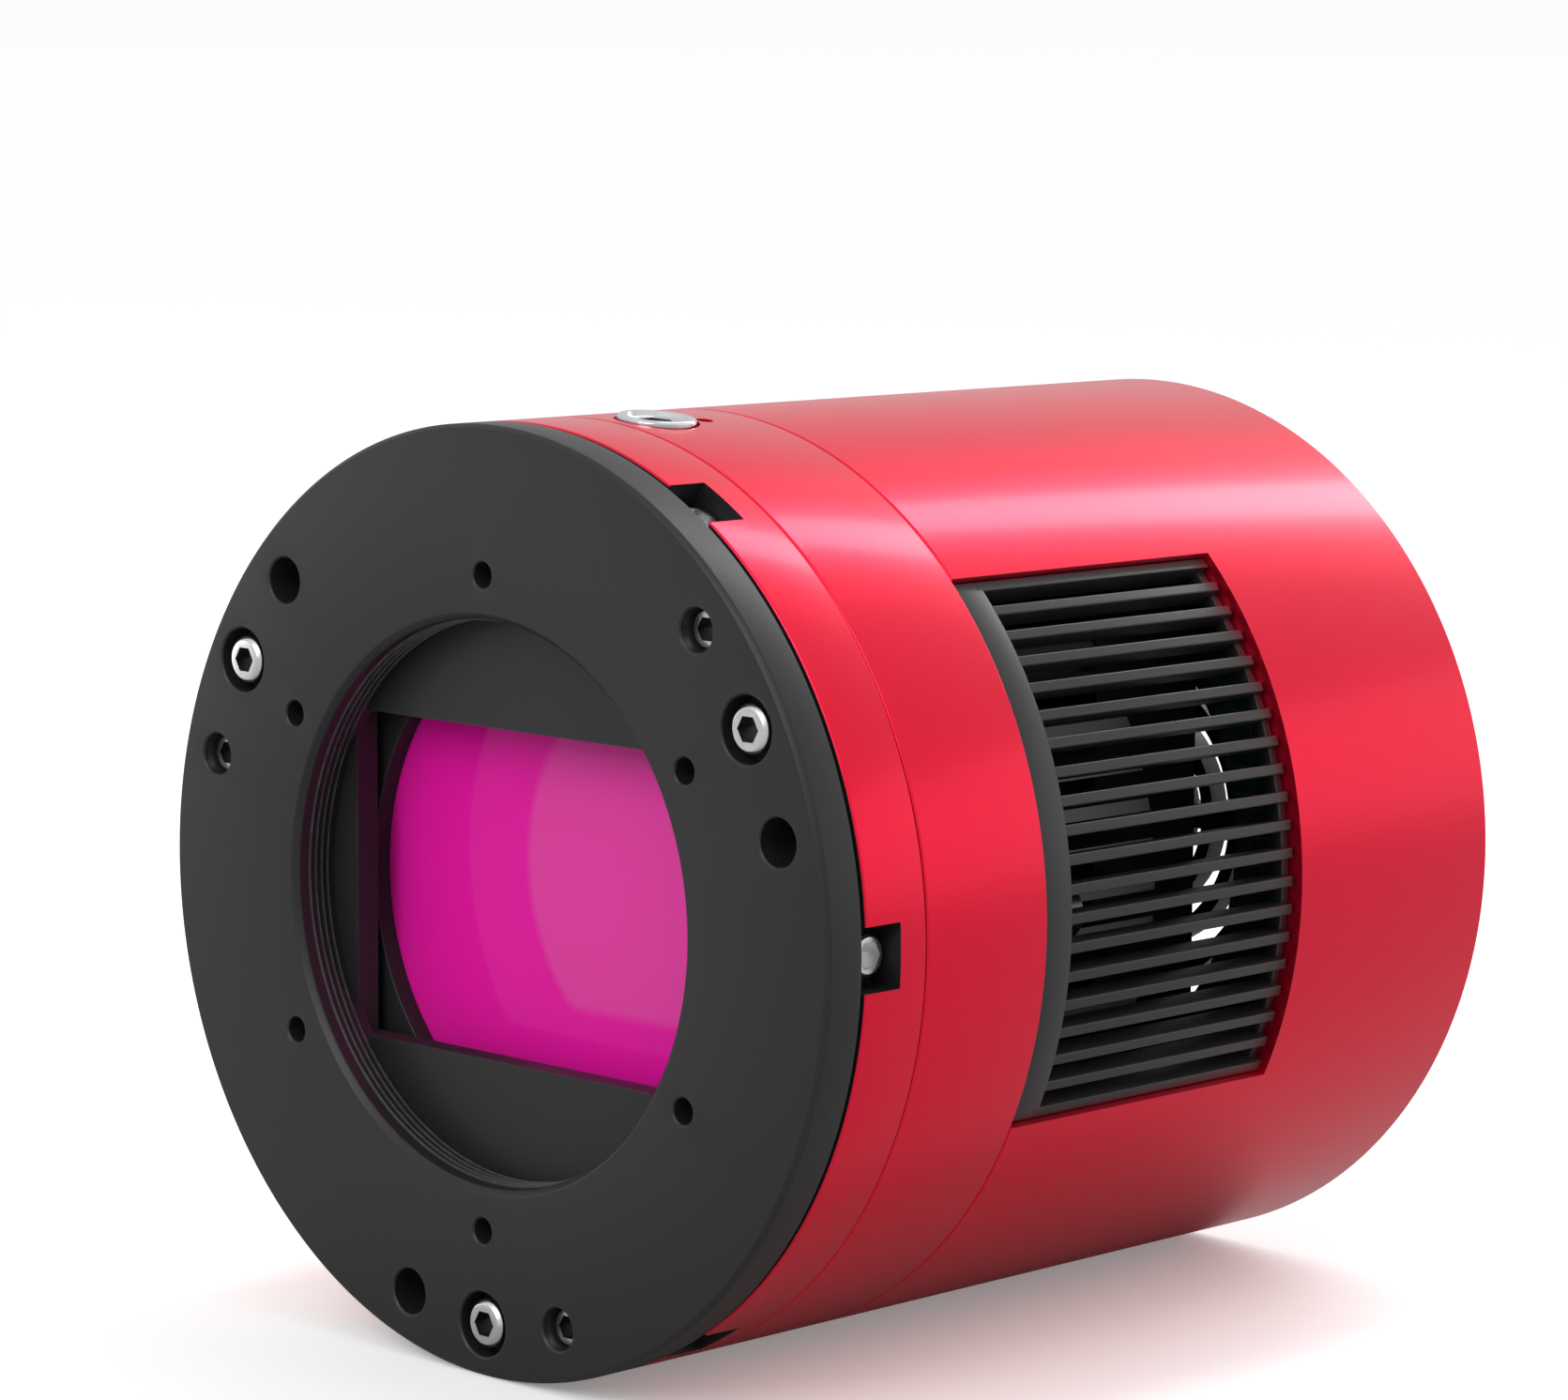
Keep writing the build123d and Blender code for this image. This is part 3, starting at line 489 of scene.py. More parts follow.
def stands_for(thing, *replaced):
    """The piece rides with the nodes that it replaces, which are hidden."""
    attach(thing, body_of[replaced[0]])
    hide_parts(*replaced)
    return thing


# ---------------------------------------------------------------- geometry nodes


def geometry_tree(name, inputs):
    """An empty tree with its named inputs."""
    tree = bpy.data.node_groups.new(name, "GeometryNodeTree")
    tree.interface.new_socket("Geometry", in_out="OUTPUT", socket_type="NodeSocketGeometry")
    tree.interface.new_socket("Geometry", in_out="INPUT", socket_type="NodeSocketGeometry")
    for label, kind in inputs:
        tree.interface.new_socket(label, in_out="INPUT", socket_type="NodeSocket" + kind)
    return tree, tree.nodes.new("NodeGroupInput"), tree.nodes.new("NodeGroupOutput")


def math_node(tree, operation, first, second):
    """A math node whose inputs are sockets or numbers."""
    node = tree.nodes.new("ShaderNodeMath")
    node.operation = operation
    for socket, value in zip(node.inputs, (first, second)):
        if isinstance(value, (int, float)):
            socket.default_value = value
        else:
            tree.links.new(value, socket)
    return node.outputs[0]


def end_tree(tree, instances, given, result):
    """Realize Instances and Set Material, then the tree's output."""
    link = tree.links.new
    realize = tree.nodes.new("GeometryNodeRealizeInstances")
    finish = tree.nodes.new("GeometryNodeSetMaterial")
    link(instances, realize.inputs["Geometry"])
    link(realize.outputs["Geometry"], finish.inputs["Geometry"])
    link(given.outputs["Material"], finish.inputs["Material"])
    link(finish.outputs["Geometry"], result.inputs["Geometry"])


def make_round_tree():
    """Copies of the mesh turned about the optical axis, in equal steps."""
    tree, given, result = geometry_tree(
        "copies_round_axis",
        [("Copies", "Int"), ("First angle", "Float"), ("Step angle", "Float"), ("Material", "Material")],
    )
    link = tree.links.new
    points = tree.nodes.new("GeometryNodePoints")
    index = tree.nodes.new("GeometryNodeInputIndex")
    turn = tree.nodes.new("ShaderNodeCombineXYZ")
    to_rotation = tree.nodes.new("FunctionNodeEulerToRotation")
    copies = tree.nodes.new("GeometryNodeInstanceOnPoints")
    step = math_node(tree, "MULTIPLY", index.outputs[0], given.outputs["Step angle"])
    angle = math_node(tree, "ADD", step, given.outputs["First angle"])
    link(math_node(tree, "MULTIPLY", angle, -1.0), turn.inputs["Y"])
    link(turn.outputs[0], to_rotation.inputs[0])
    link(given.outputs["Copies"], points.inputs["Count"])
    link(points.outputs[0], copies.inputs["Points"])
    link(given.outputs["Geometry"], copies.inputs["Instance"])
    link(to_rotation.outputs[0], copies.inputs["Rotation"])
    end_tree(tree, copies.outputs[0], given, result)
    return tree


def make_thread_tree():
    """A thread's ridge: a pointed profile that follows a spiral about the optical axis."""
    tree, given, result = geometry_tree(
        "thread_ridge",
        [
            ("Turns", "Float"),
            ("Pitch", "Float"),
            ("Major radius", "Float"),
            ("Depth", "Float"),
            ("Start", "Float"),
            ("Steps a turn", "Int"),
            ("Material", "Material"),
        ],
    )
    link = tree.links.new
    spiral = tree.nodes.new("GeometryNodeCurveSpiral")
    profile = tree.nodes.new("GeometryNodeCurvePrimitiveCircle")
    profile.mode = "RADIUS"
    profile.inputs["Resolution"].default_value = 3
    sweep = tree.nodes.new("GeometryNodeCurveToMesh")
    sweep.inputs["Fill Caps"].default_value = True
    lay = tree.nodes.new("GeometryNodeTransform")
    lay.inputs["Rotation"].default_value = (-math.pi / 2, 0, 0)
    shift = tree.nodes.new("ShaderNodeCombineXYZ")
    link(given.outputs["Steps a turn"], spiral.inputs["Resolution"])
    link(given.outputs["Turns"], spiral.inputs["Rotations"])
    link(given.outputs["Major radius"], spiral.inputs["Start Radius"])
    link(given.outputs["Major radius"], spiral.inputs["End Radius"])
    rise = math_node(tree, "MULTIPLY", given.outputs["Turns"], given.outputs["Pitch"])
    link(rise, spiral.inputs["Height"])
    link(given.outputs["Depth"], profile.inputs["Radius"])
    link(spiral.outputs[0], sweep.inputs["Curve"])
    link(profile.outputs["Curve"], sweep.inputs["Profile Curve"])
    link(sweep.outputs[0], lay.inputs["Geometry"])
    link(given.outputs["Start"], shift.inputs["Y"])
    link(shift.outputs[0], lay.inputs["Translation"])
    end_tree(tree, lay.outputs[0], given, result)
    return tree


def grow(thing, tree, **values):
    """Runs a tree on an object and leaves a plain mesh. A value's name is its input's, in lower case."""
    grown = thing.modifiers.new(tree.name, "NODES")
    grown.node_group = tree
    for item in tree.interface.items_tree:
        key = item.name.lower().replace(" ", "_")
        if item.in_out == "INPUT" and key in values:
            grown[item.identifier] = values[key]
    return settle(thing)


ROUND_TREE = make_round_tree()
THREAD_TREE = make_thread_tree()


# ---------------------------------------------------------------- shader groups


def shader_group(name, inputs, outputs):
    """An empty shader group with its named sockets."""
    tree = bpy.data.node_groups.new(name, "ShaderNodeTree")
    for label, value in inputs:
        socket = tree.interface.new_socket(label, in_out="INPUT", socket_type="NodeSocketFloat")
        socket.default_value = value
    for label in outputs:
        tree.interface.new_socket(label, in_out="OUTPUT", socket_type="NodeSocketFloat")
    return tree, tree.nodes.new("NodeGroupInput"), tree.nodes.new("NodeGroupOutput")


def own_place(tree):
    """Coordinates in the object's own axes."""
    return tree.nodes.new("ShaderNodeTexCoord").outputs["Object"]


def axes(tree, vector):
    """A vector's X, Y and Z."""
    split = tree.nodes.new("ShaderNodeSeparateXYZ")
    tree.links.new(vector, split.inputs[0])
    return split.outputs


def off_line(tree, place, centre_x, centre_z):
    """Distance from a line along Y."""
    across = math_node(tree, "SUBTRACT", place["X"], centre_x)
    above = math_node(tree, "SUBTRACT", place["Z"], centre_z)
    flat = math_node(tree, "MULTIPLY", across, across)
    tall = math_node(tree, "MULTIPLY", above, above)
    return math_node(tree, "SQRT", math_node(tree, "ADD", flat, tall), 0.0)


def noise(tree, vector, scale, detail=3.0, roughness=0.55):
    """A noise texture on given coordinates. The scale is a number or a socket."""
    texture = tree.nodes.new("ShaderNodeTexNoise")
    texture.inputs["Detail"].default_value = detail
    texture.inputs["Roughness"].default_value = roughness
    tree.links.new(vector, texture.inputs["Vector"])
    if isinstance(scale, (int, float)):
        texture.inputs["Scale"].default_value = scale
    else:
        tree.links.new(scale, texture.inputs["Scale"])
    return texture.outputs["Fac"]


def spread(tree, value, low_in, high_in, low_out=0.0, high_out=1.0):
    """Maps a value from one range to another and keeps it inside."""
    ramp = tree.nodes.new("ShaderNodeMapRange")
    ramp.inputs["From Min"].default_value = low_in
    ramp.inputs["From Max"].default_value = high_in
    ramp.inputs["To Min"].default_value = low_out
    ramp.inputs["To Max"].default_value = high_out
    tree.links.new(value, ramp.inputs["Value"])
    return ramp.outputs["Result"]


def make_blast_group():
    """Fine blasted or moulded grain, and slow patches of tone."""
    tree, given, result = shader_group(
        "blasted_grain", [("Grains a metre", 6000.0), ("Patches a metre", 60.0)], ["Height", "Patch"]
    )
    where = own_place(tree)
    grain = noise(tree, where, given.outputs["Grains a metre"], detail=4.0)
    patch = noise(tree, where, given.outputs["Patches a metre"])
    tree.links.new(grain, result.inputs["Height"])
    tree.links.new(spread(tree, patch, low_in=0.1, high_in=0.9), result.inputs["Patch"])
    return tree


def make_edge_wear_and_highlight_group():
    """Edge wear and a painted edge highlight: a lighter tone where a rounded normal leaves the true one,
    broken up by noise.
    """
    tree, given, result = shader_group("rubbed_edges", [("Width", 0.0003), ("Amount", 1.0)], ["Mask"])
    geometry = tree.nodes.new("ShaderNodeNewGeometry")
    bevel = tree.nodes.new("ShaderNodeBevel")
    bevel.samples = 4
    tree.links.new(given.outputs["Width"], bevel.inputs["Radius"])
    same = tree.nodes.new("ShaderNodeVectorMath")
    same.operation = "DOT_PRODUCT"
    tree.links.new(bevel.outputs["Normal"], same.inputs[0])
    tree.links.new(geometry.outputs["Normal"], same.inputs[1])
    away = spread(tree, same.outputs["Value"], low_in=0.99, high_in=0.8)
    breaks = noise(tree, own_place(tree), scale=900.0, detail=5.0)
    broken = spread(tree, breaks, low_in=0.3, high_in=0.6)
    mask = math_node(tree, "MULTIPLY", away, broken)
    tree.links.new(math_node(tree, "MULTIPLY", mask, given.outputs["Amount"]), result.inputs["Mask"])
    return tree


def make_dust_group():
    """A little dust on what faces up."""
    tree, given, result = shader_group("settled_dust", [("Amount", 0.2)], ["Mask"])
    normal = tree.nodes.new("ShaderNodeNewGeometry").outputs["Normal"]
    up = spread(tree, axes(tree, normal)["Z"], low_in=0.2, high_in=1.0)
    motes = noise(tree, own_place(tree), scale=2500.0, detail=6.0, roughness=0.7)
    specks = spread(tree, motes, low_in=0.55, high_in=0.75)
    mask = math_node(tree, "MULTIPLY", up, specks)
    tree.links.new(math_node(tree, "MULTIPLY", mask, given.outputs["Amount"]), result.inputs["Mask"])
    return tree


def make_turning_group():
    """Fine rings left by a lathe, round the optical axis."""
    tree, given, result = shader_group("turning_marks", [("Rings a metre", 9000.0)], ["Height"])
    where = own_place(tree)
    radius = off_line(tree, axes(tree, where), 0.0, 0.0)
    rings = math_node(tree, "MULTIPLY", radius, given.outputs["Rings a metre"])
    uneven = math_node(tree, "ADD", rings, noise(tree, where, scale=300.0))
    tree.links.new(math_node(tree, "SINE", uneven, 0.0), result.inputs["Height"])
    return tree


BLAST = make_blast_group()
EDGE_WEAR_AND_HIGHLIGHT = make_edge_wear_and_highlight_group()
DUST = make_dust_group()
TURNING = make_turning_group()


# ---------------------------------------------------------------- materials


class Finish:
    """A material with its shader, and short ways to build on it."""

    def __init__(self, name, roughness, **constants):
        self.material = bpy.data.materials.new(name)
        self.material.use_nodes = True
        self.tree = self.material.node_tree
        self.shader = self.tree.nodes["Principled BSDF"]
        self.shader.inputs["Roughness"].default_value = roughness
        for label, value in constants.items():
            self.shader.inputs[label.replace("_", " ")].default_value = value

    def group(self, group, **values):
        node = self.tree.nodes.new("ShaderNodeGroup")
        node.node_tree = group
        for label, value in values.items():
            node.inputs[label.replace("_", " ")].default_value = value
        return node

    def mix(self, mask, under, over):
        """A colour between two, by a mask. Each is a colour or a socket."""
        node = self.tree.nodes.new("ShaderNodeMix")
        node.data_type = "RGBA"
        self.tree.links.new(mask, node.inputs["Factor"])
        for socket, value in ((node.inputs["A"], under), (node.inputs["B"], over)):
            if isinstance(value, tuple):
                socket.default_value = (*value, 1.0)
            else:
                self.tree.links.new(value, socket)
        return node.outputs["Result"]

    def colour(self, socket):
        self.tree.links.new(socket, self.shader.inputs["Base Color"])

    def rough(self, socket):
        self.tree.links.new(socket, self.shader.inputs["Roughness"])

    def bump(self, height, depth):
        node = self.tree.nodes.new("ShaderNodeBump")
        node.inputs["Distance"].default_value = depth
        node.inputs["Strength"].default_value = 1.0
        self.tree.links.new(height, node.inputs["Height"])
        self.tree.links.new(node.outputs["Normal"], self.shader.inputs["Normal"])

    def patches(self, grain, colour, roughness, darkest, smoother, rougher):
        """Slow patches in roughness, and in the tone that comes back. Darkest is a share of the colour."""
        patch = grain.outputs["Patch"]
        low_out = roughness - smoother
        self.rough(spread(self.tree, patch, 0.0, 1.0, low_out, roughness + rougher))
        return self.mix(patch, tuple(darkest * channel for channel in colour), colour)


def anodised(name, colour, edge_colour_worn_and_lit, rub, roughness, grain_depth, constants):
    """Anodised aluminium: fine grain, slow patches, edges lighter from wear and from a painted highlight,
    and a trace of dust.
    """
    finish = Finish(name, roughness, **constants)
    grain = finish.group(BLAST, Grains_a_metre=7000.0)
    edges = finish.group(EDGE_WEAR_AND_HIGHLIGHT, Width=0.25 * MM, Amount=rub)
    dust = finish.group(DUST, Amount=0.06)
    toned = finish.patches(grain, colour, roughness, darkest=0.96, smoother=0.015, rougher=0.015)
    # The edge colour is partly wear and partly a painted highlight
    toned_with_worn_and_lit_edges = finish.mix(edges.outputs["Mask"], toned, edge_colour_worn_and_lit)
    finish.colour(finish.mix(dust.outputs["Mask"], toned_with_worn_and_lit_edges, DUST_ON_METAL))
    finish.bump(grain.outputs["Height"], grain_depth)
    return finish.material


def machined(name, colour, roughness, rings=9000.0, ring_depth=0.5e-6):
    """Turned metal, with its lathe's rings and darker patches."""
    finish = Finish(name, roughness, Metallic=1.0)
    grain = finish.group(BLAST, Grains_a_metre=5000.0, Patches_a_metre=400.0)
    turning = finish.group(TURNING, Rings_a_metre=rings)
    finish.colour(finish.patches(grain, colour, roughness, darkest=0.8, smoother=0.05, rougher=0.06))
    finish.bump(turning.outputs["Height"], ring_depth)
    return finish.material


def moulded(name, colour, roughness, grain_depth=4e-6):
    """Moulded plastic, rubber, ceramic or foam, by its grain."""
    finish = Finish(name, roughness)
    grain = finish.group(BLAST, Grains_a_metre=5000.0, Patches_a_metre=150.0)
    dust = finish.group(DUST, Amount=0.25)
    toned = finish.patches(grain, colour, roughness, darkest=0.82, smoother=0.05, rougher=0.05)
    finish.colour(finish.mix(dust.outputs["Mask"], toned, DUST_ON_PLASTIC))
    finish.bump(grain.outputs["Height"], grain_depth)
    return finish.material


def circuit_board(name):
    """Green solder mask over copper tracks that run square to each other."""
    finish = Finish(name, 0.35)
    tracks = finish.tree.nodes.new("ShaderNodeTexBrick")
    tracks.inputs["Scale"].default_value = 180.0
    tracks.inputs["Mortar Size"].default_value = 0.03
    turn = finish.tree.nodes.new("ShaderNodeMapping")
    turn.inputs["Rotation"].default_value = (math.pi / 2, 0, 0)
    finish.tree.links.new(own_place(finish.tree), turn.inputs["Vector"])
    finish.tree.links.new(turn.outputs["Vector"], tracks.inputs["Vector"])
    grain = finish.group(BLAST)
    green = finish.mix(grain.outputs["Patch"], *BOARD_GREENS)
    finish.colour(finish.mix(tracks.outputs["Fac"], green, TRACK_GREEN))
    finish.bump(tracks.outputs["Fac"], TRACK_HEIGHT)
    return finish.material


def coated(name, colour, other_colour, roughness):
    """A mirror with an interference coating, whose tone shifts a little over the surface."""
    finish = Finish(name, roughness, Metallic=1.0)
    coat = finish.group(BLAST, **COAT_GRAIN)
    finish.colour(finish.mix(coat.outputs["Patch"], colour, other_colour))
    limits = (roughness * 0.7, roughness * 1.3)
    finish.rough(spread(finish.tree, coat.outputs["Height"], 0.3, 0.7, *limits))
    return finish.material


def window_coating_and_painted_light(name):
    """Magenta glass with a painted paler patch, which stands for the light through the round aperture
    falling on the sensor behind.
    """
    finish = Finish(name, 0.06, Alpha=0.92, Specular_IOR_Level=0.1)
    place = axes(finish.tree, own_place(finish.tree))
    away = off_line(finish.tree, place, LIT_CENTRE, LIT_RISE)
    inside = spread(finish.tree, away, LIT_RADIUS, LIT_RADIUS - LIT_BLUR)
    above = spread(finish.tree, place["Z"], LIT_BOTTOM, LIT_BOTTOM + LIT_BLUR)
    # Painted light: the mask of the paler patch
    lit = math_node(finish.tree, "MULTIPLY", inside, above)
    coat = finish.group(BLAST, **COAT_GRAIN)
    tone = finish.mix(coat.outputs["Patch"], *MAGENTAS)
    finish.colour(finish.mix(lit, tone, LIT_MAGENTA))
    return finish.material


# Colours that more than one material shares, or that have no table below
DUST_ON_METAL = (0.55, 0.53, 0.5)
DUST_ON_PLASTIC = (0.4, 0.39, 0.37)
BOARD_GREENS = ((0.004, 0.02, 0.012), (0.006, 0.03, 0.018))
TRACK_GREEN = (0.01, 0.05, 0.028)
TRACK_HEIGHT = 10e-6
MAGENTAS = ((0.84, 0.010, 0.375), (0.89, 0.012, 0.39))
# Painted light: the paler magenta of the patch on the window
LIT_MAGENTA = (0.82, 0.06, 0.39)
COAT_GRAIN = {"Grains_a_metre": 900.0, "Patches_a_metre": 25.0}

# Colour, colour of the edges with wear and painted highlight, how much of that edge colour, roughness,
# depth of grain, constants
ANODISED = {
    "plate_black": (
        (0.0135, 0.0135, 0.0142),
        (0.11, 0.11, 0.115),
        0.55,
        0.42,
        2.2e-6,
        {"Specular_IOR_Level": 0.38},
    ),
    "housing_red": (
        (0.9, 0.005, 0.043),
        (0.8, 0.05, 0.09),
        0.12,
        0.28,
        0.01e-6,
        {"Metallic": 0.85, "Coat_Weight": 0.2, "Coat_Roughness": 0.12},
    ),
    "chamber_black": (
        (0.012, 0.012, 0.013),
        (0.06, 0.06, 0.06),
        0.5,
        0.5,
        3e-6,
        {"Specular_IOR_Level": 0.4},
    ),
    "grille_black": (
        (0.02, 0.02, 0.021),
        (0.12, 0.12, 0.12),
        0.6,
        0.4,
        3e-6,
        {"Specular_IOR_Level": 0.5},
    ),
}

# Colour and roughness, and for some the rings a metre and their depth
MACHINED = {
    "screw_steel": ((0.82, 0.82, 0.83), 0.24),
    # dark_steel lines the screws' sockets: painted shade in the recess
    "dark_steel": ((0.14, 0.14, 0.15), 0.35),
    "plug_steel": ((0.8, 0.8, 0.82), 0.2),
    "cooler_aluminium": ((0.16, 0.16, 0.17), 0.45, 2500.0, 2e-6),
    "pellet_metal": ((0.3, 0.3, 0.34), 0.5),
    "copper_winding": ((0.7, 0.28, 0.1), 0.35, 14000.0, 20e-6),
    "brass_bronze": ((0.66, 0.45, 0.18), 0.4),
    "port_shell": ((0.75, 0.75, 0.77), 0.28),
    "post_brass": ((0.72, 0.68, 0.55), 0.33),
}

# Colour and roughness, and for some the depth of the grain
MOULDED = {
    "seal_foam": ((0.02, 0.02, 0.02), 0.9, 40e-6),
    "oring_rubber": ((0.012, 0.012, 0.012), 0.45, 2e-6),
    "heater_film": ((0.4, 0.15, 0.03), 0.35),
    "sensor_ceramic": ((0.04, 0.04, 0.045), 0.55),
    "chip_black": ((0.015, 0.015, 0.016), 0.5),
    "nylon": ((0.75, 0.74, 0.68), 0.5),
    "cooler_ceramic": ((0.8, 0.8, 0.77), 0.6),
    "foam_insulation": ((0.05, 0.05, 0.05), 0.95, 60e-6),
    "desiccant_white": ((0.8, 0.8, 0.76), 0.8, 20e-6),
    "ribbon_film": ((0.42, 0.17, 0.03), 0.35),
    "fan_plastic": ((0.014, 0.014, 0.015), 0.38),
    "magnet_ferrite": ((0.05, 0.05, 0.052), 0.5),
    "port_insert": ((0.01, 0.04, 0.3), 0.4),
    "jack_plastic": ((0.015, 0.015, 0.015), 0.4),
}

# The two colours and the roughness
COATED = {
    "cover_glass": ((0.86, 0.8, 0.88), (0.8, 0.74, 0.84), 0.03),
    "sensor_silicon": ((0.3, 0.04, 0.2), (0.2, 0.06, 0.22), 0.1),
}

finishes = {"window_glass": window_coating_and_painted_light("window_glass"), "board_green": circuit_board("board_green")}
for make, table in ((anodised, ANODISED), (machined, MACHINED), (moulded, MOULDED), (coated, COATED)):
    for label, settings in table.items():
        finishes[label] = make(label, *settings)
for node, slot in slot_of.items():
    for place in nodes[node].material_slots:
        place.material = finishes[slot]


# ---------------------------------------------------------------- front plate


def make_front_plate():
    plate_back = housing_front - TILT_GAP
    hub_r = bore_r + HUB_WALL
    major_r = bore_r + THREAD_DEPTH
    outline = [
        (major_r + BORE_EDGE, 0),
        (body_r - PLATE_EDGE, 0),
        (body_r, PLATE_EDGE),
        (body_r, plate_back),
        (hub_r, plate_back),
        (hub_r, hub_back),
        (major_r, hub_back),
        (major_r, BORE_EDGE),
    ]
    plate = plain_object("front_plate", turned(eased(outline, PLATE_EASE)), finishes["plate_black"])
    deep = hub_back + CLEAR
    shank_hole_r = high("pull_screw_1").x - middle("pull_screw_1").x - HEAD_SEAT
    pull_hole = turned(
        [
            (0, -CLEAR),
            (COUNTERBORE_R + MOUTH_EDGE + CLEAR, -CLEAR),
            (COUNTERBORE_R, MOUTH_EDGE),
            (COUNTERBORE_R, COUNTERBORE_DEPTH),
            (shank_hole_r, COUNTERBORE_DEPTH),
            (shank_hole_r, deep),
            (0, deep),
        ],
        HOLE_STEPS,
    )
    push_r = half_width("push_screw_1") + SCREW_PLAY
    cutters = on_circle(hole(face_hole_r, FACE_HOLE_DEPTH), face_circle_r, FACE_HOLE_ANGLES)
    cutters += on_circle(pull_hole, adjust_r, PULL_ANGLES)
    cutters += on_circle(hole(push_r, deep), adjust_r, PUSH_ANGLES)
    cutters += on_circle(hole(adapter_hole_r, deep), adjust_r, ADAPTER_ANGLES)
    carve(plate, gathered(cutters))
    stands_for(smooth(plate), "tilt_plate")
    ridge = plain_object("bore_thread", bmesh.new(), finishes["plate_black"])
    grow(
        ridge,
        THREAD_TREE,
        turns=float(THREAD_TURNS),
        pitch=THREAD_PITCH,
        major_radius=major_r,
        depth=THREAD_DEPTH,
        start=THREAD_START,
        steps_a_turn=ROUND_STEPS // 2,
        material=finishes["plate_black"],
    )
    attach(smooth(ridge), "tilt_plate")


def cut_socket(thing, across_flats, depth):
    """A hexagonal socket in a screw whose front end is at 0. Its walls take dark steel, which is painted
    shade in the recess.
    """
    return carve(thing, hexagon(across_flats, -CLEAR, depth), finishes["dark_steel"])


def socket_screw(name, head_r, head_h, shank_r, length, socket):
    """A socket-head screw on the optical axis, with its head's top at 0."""
    edge = head_r * HEAD_CHAMFER
    outline = [
        (0, 0),
        (head_r - edge, 0),
        (head_r, edge),
        (head_r, head_h),
        (shank_r, head_h),
        (shank_r, length - shank_r * TIP_LENGTH),
        (shank_r * TIP_SHARE, length),
        (0, length),
    ]
    shape = turned(eased(outline, HEAD_EASE, 2), HOLE_STEPS)
    return cut_socket(plain_object(name, shape, finishes["screw_steel"]), *socket)


def make_adjusting_screws():
    for number in range(1, len(PULL_ANGLES) + 1):
        node = f"pull_screw_{number}"
        head_r = half_width(node)
        head_h = COUNTERBORE_DEPTH - SCREW_PLAY - low(node).y
        sizes = (head_r, head_h, head_r * HEAD_SHANK, high(node).y - low(node).y)
        screw = socket_screw(f"pull_screw_head_{number}", *sizes, PULL_SOCKET)
        screw.data.transform(front_centre(node))
        stands_for(smooth(screw), node)
    for number in range(1, len(PUSH_ANGLES) + 1):
        node = f"push_screw_{number}"
        shank_r = half_width(node)
        length = high(node).y - low(node).y
        edge = shank_r * PUSH_CHAMFER
        outline = [(0, 0), (shank_r - edge, 0), (shank_r, edge), (shank_r, length - edge)]
        outline += [(shank_r - edge, length), (0, length)]
        shape = turned(eased(outline, PUSH_EASE, 2), HOLE_STEPS)
        screw = plain_object(f"set_screw_{number}", shape, finishes["screw_steel"])
        cut_socket(screw, *PUSH_SOCKET)
        screw.data.transform(front_centre(node))
        stands_for(smooth(screw), node)


# ---------------------------------------------------------------- housings


def ring_outline(r_in, front, back, front_edge=SEAM_EDGE, back_edge=SEAM_EDGE):
    return [
        (r_in, front),
        (body_r - front_edge, front),
        (body_r, front + front_edge),
        (body_r, back - back_edge),
        (body_r - back_edge, back),
        (r_in, back),
    ]


def make_front_housing():
    r_in = high("chamber_cover").x + FIT_GAP
    outline = eased(ring_outline(r_in, housing_front, seam_1 - SEAM_GAP), HOUSING_EASE)
    housing = plain_object("front_housing_ring", turned(outline), finishes["housing_red"])
    notch = block(NOTCH_DEPTH * 2, NOTCH_WIDTH, housing_front - CLEAR, housing_front + NOTCH_LENGTH)
    bmesh.ops.translate(notch, vec=(notch_floor_r + NOTCH_DEPTH, 0, 0), verts=notch.verts)
    turns = [Matrix.Rotation(math.radians(-NOTCH_STEP * step), 4, "Y") for step in range(NOTCHES)]
    carve(housing, gathered([placed(notch, turn) for turn in turns]), finishes["chamber_black"])
    # Painted shade: the face behind the plate, red on the real housing and in shadow there, takes the
    # notches' black, so the holes in the plate show dark
    for face in housing.data.polygons:
        if face.normal.y < FACES_FRONT and face.center.y < housing_front + SEAM_EDGE / 4:
            face.material_index = 1
    stands_for(smooth(housing), "front_housing")


def make_side_screws():
    sizes = (SIDE_HEAD_R, SIDE_HEAD_H, SIDE_SHANK_R, SIDE_LENGTH)
    screw = socket_screw("side_screw_heads", *sizes, SIDE_SOCKET)
    screw.data.transform(inward(0, notch_floor_r + SIDE_HEAD_H, housing_front + NOTCH_LENGTH / 2))
    grow(
        screw,
        ROUND_TREE,
        copies=NOTCHES,
        first_angle=0.0,
        step_angle=math.radians(NOTCH_STEP),
        material=finishes["screw_steel"],
    )
    stands_for(smooth(screw), "side_screws")


def make_middle_housing():
    r_in = high("insulation").x + INSULATION_GAP
    outline = eased(ring_outline(r_in, seam_1 + SEAM_GAP, seam_2 - SEAM_GAP), HOUSING_EASE)
    housing = plain_object("middle_housing_ring", turned(outline), finishes["housing_red"])
    plug, angle, head_r = air_plug_place()
    well_r = head_r + WELL_GAP
    seat_r = head_r - WELL_SEAT
    well = turned(
        [
            (0, -WELL_CLEAR),
            (head_r + WELL_MOUTH, -WELL_CLEAR),
            (well_r, WELL_MOUTH_DEPTH),
            (well_r, WELL_DEPTH),
            (seat_r, WELL_DEPTH),
            (seat_r, WELL_BORE_DEPTH),
            (0, WELL_BORE_DEPTH),
        ],
        PLUG_STEPS,
    )
    bleed = turned(
        [(0, -WELL_CLEAR), (BLEED_R, -WELL_CLEAR), (BLEED_R, BLEED_DEPTH), (0, BLEED_TIP)], HOLE_STEPS
    )
    cutters = [
        placed(well, inward(angle, body_r, plug.y)),
        placed(bleed, inward(angle - BLEED_ANGLE, body_r, plug.y + BLEED_BEHIND)),
    ]
    carve(housing, gathered(cutters))
    stands_for(smooth(housing), "middle_housing")


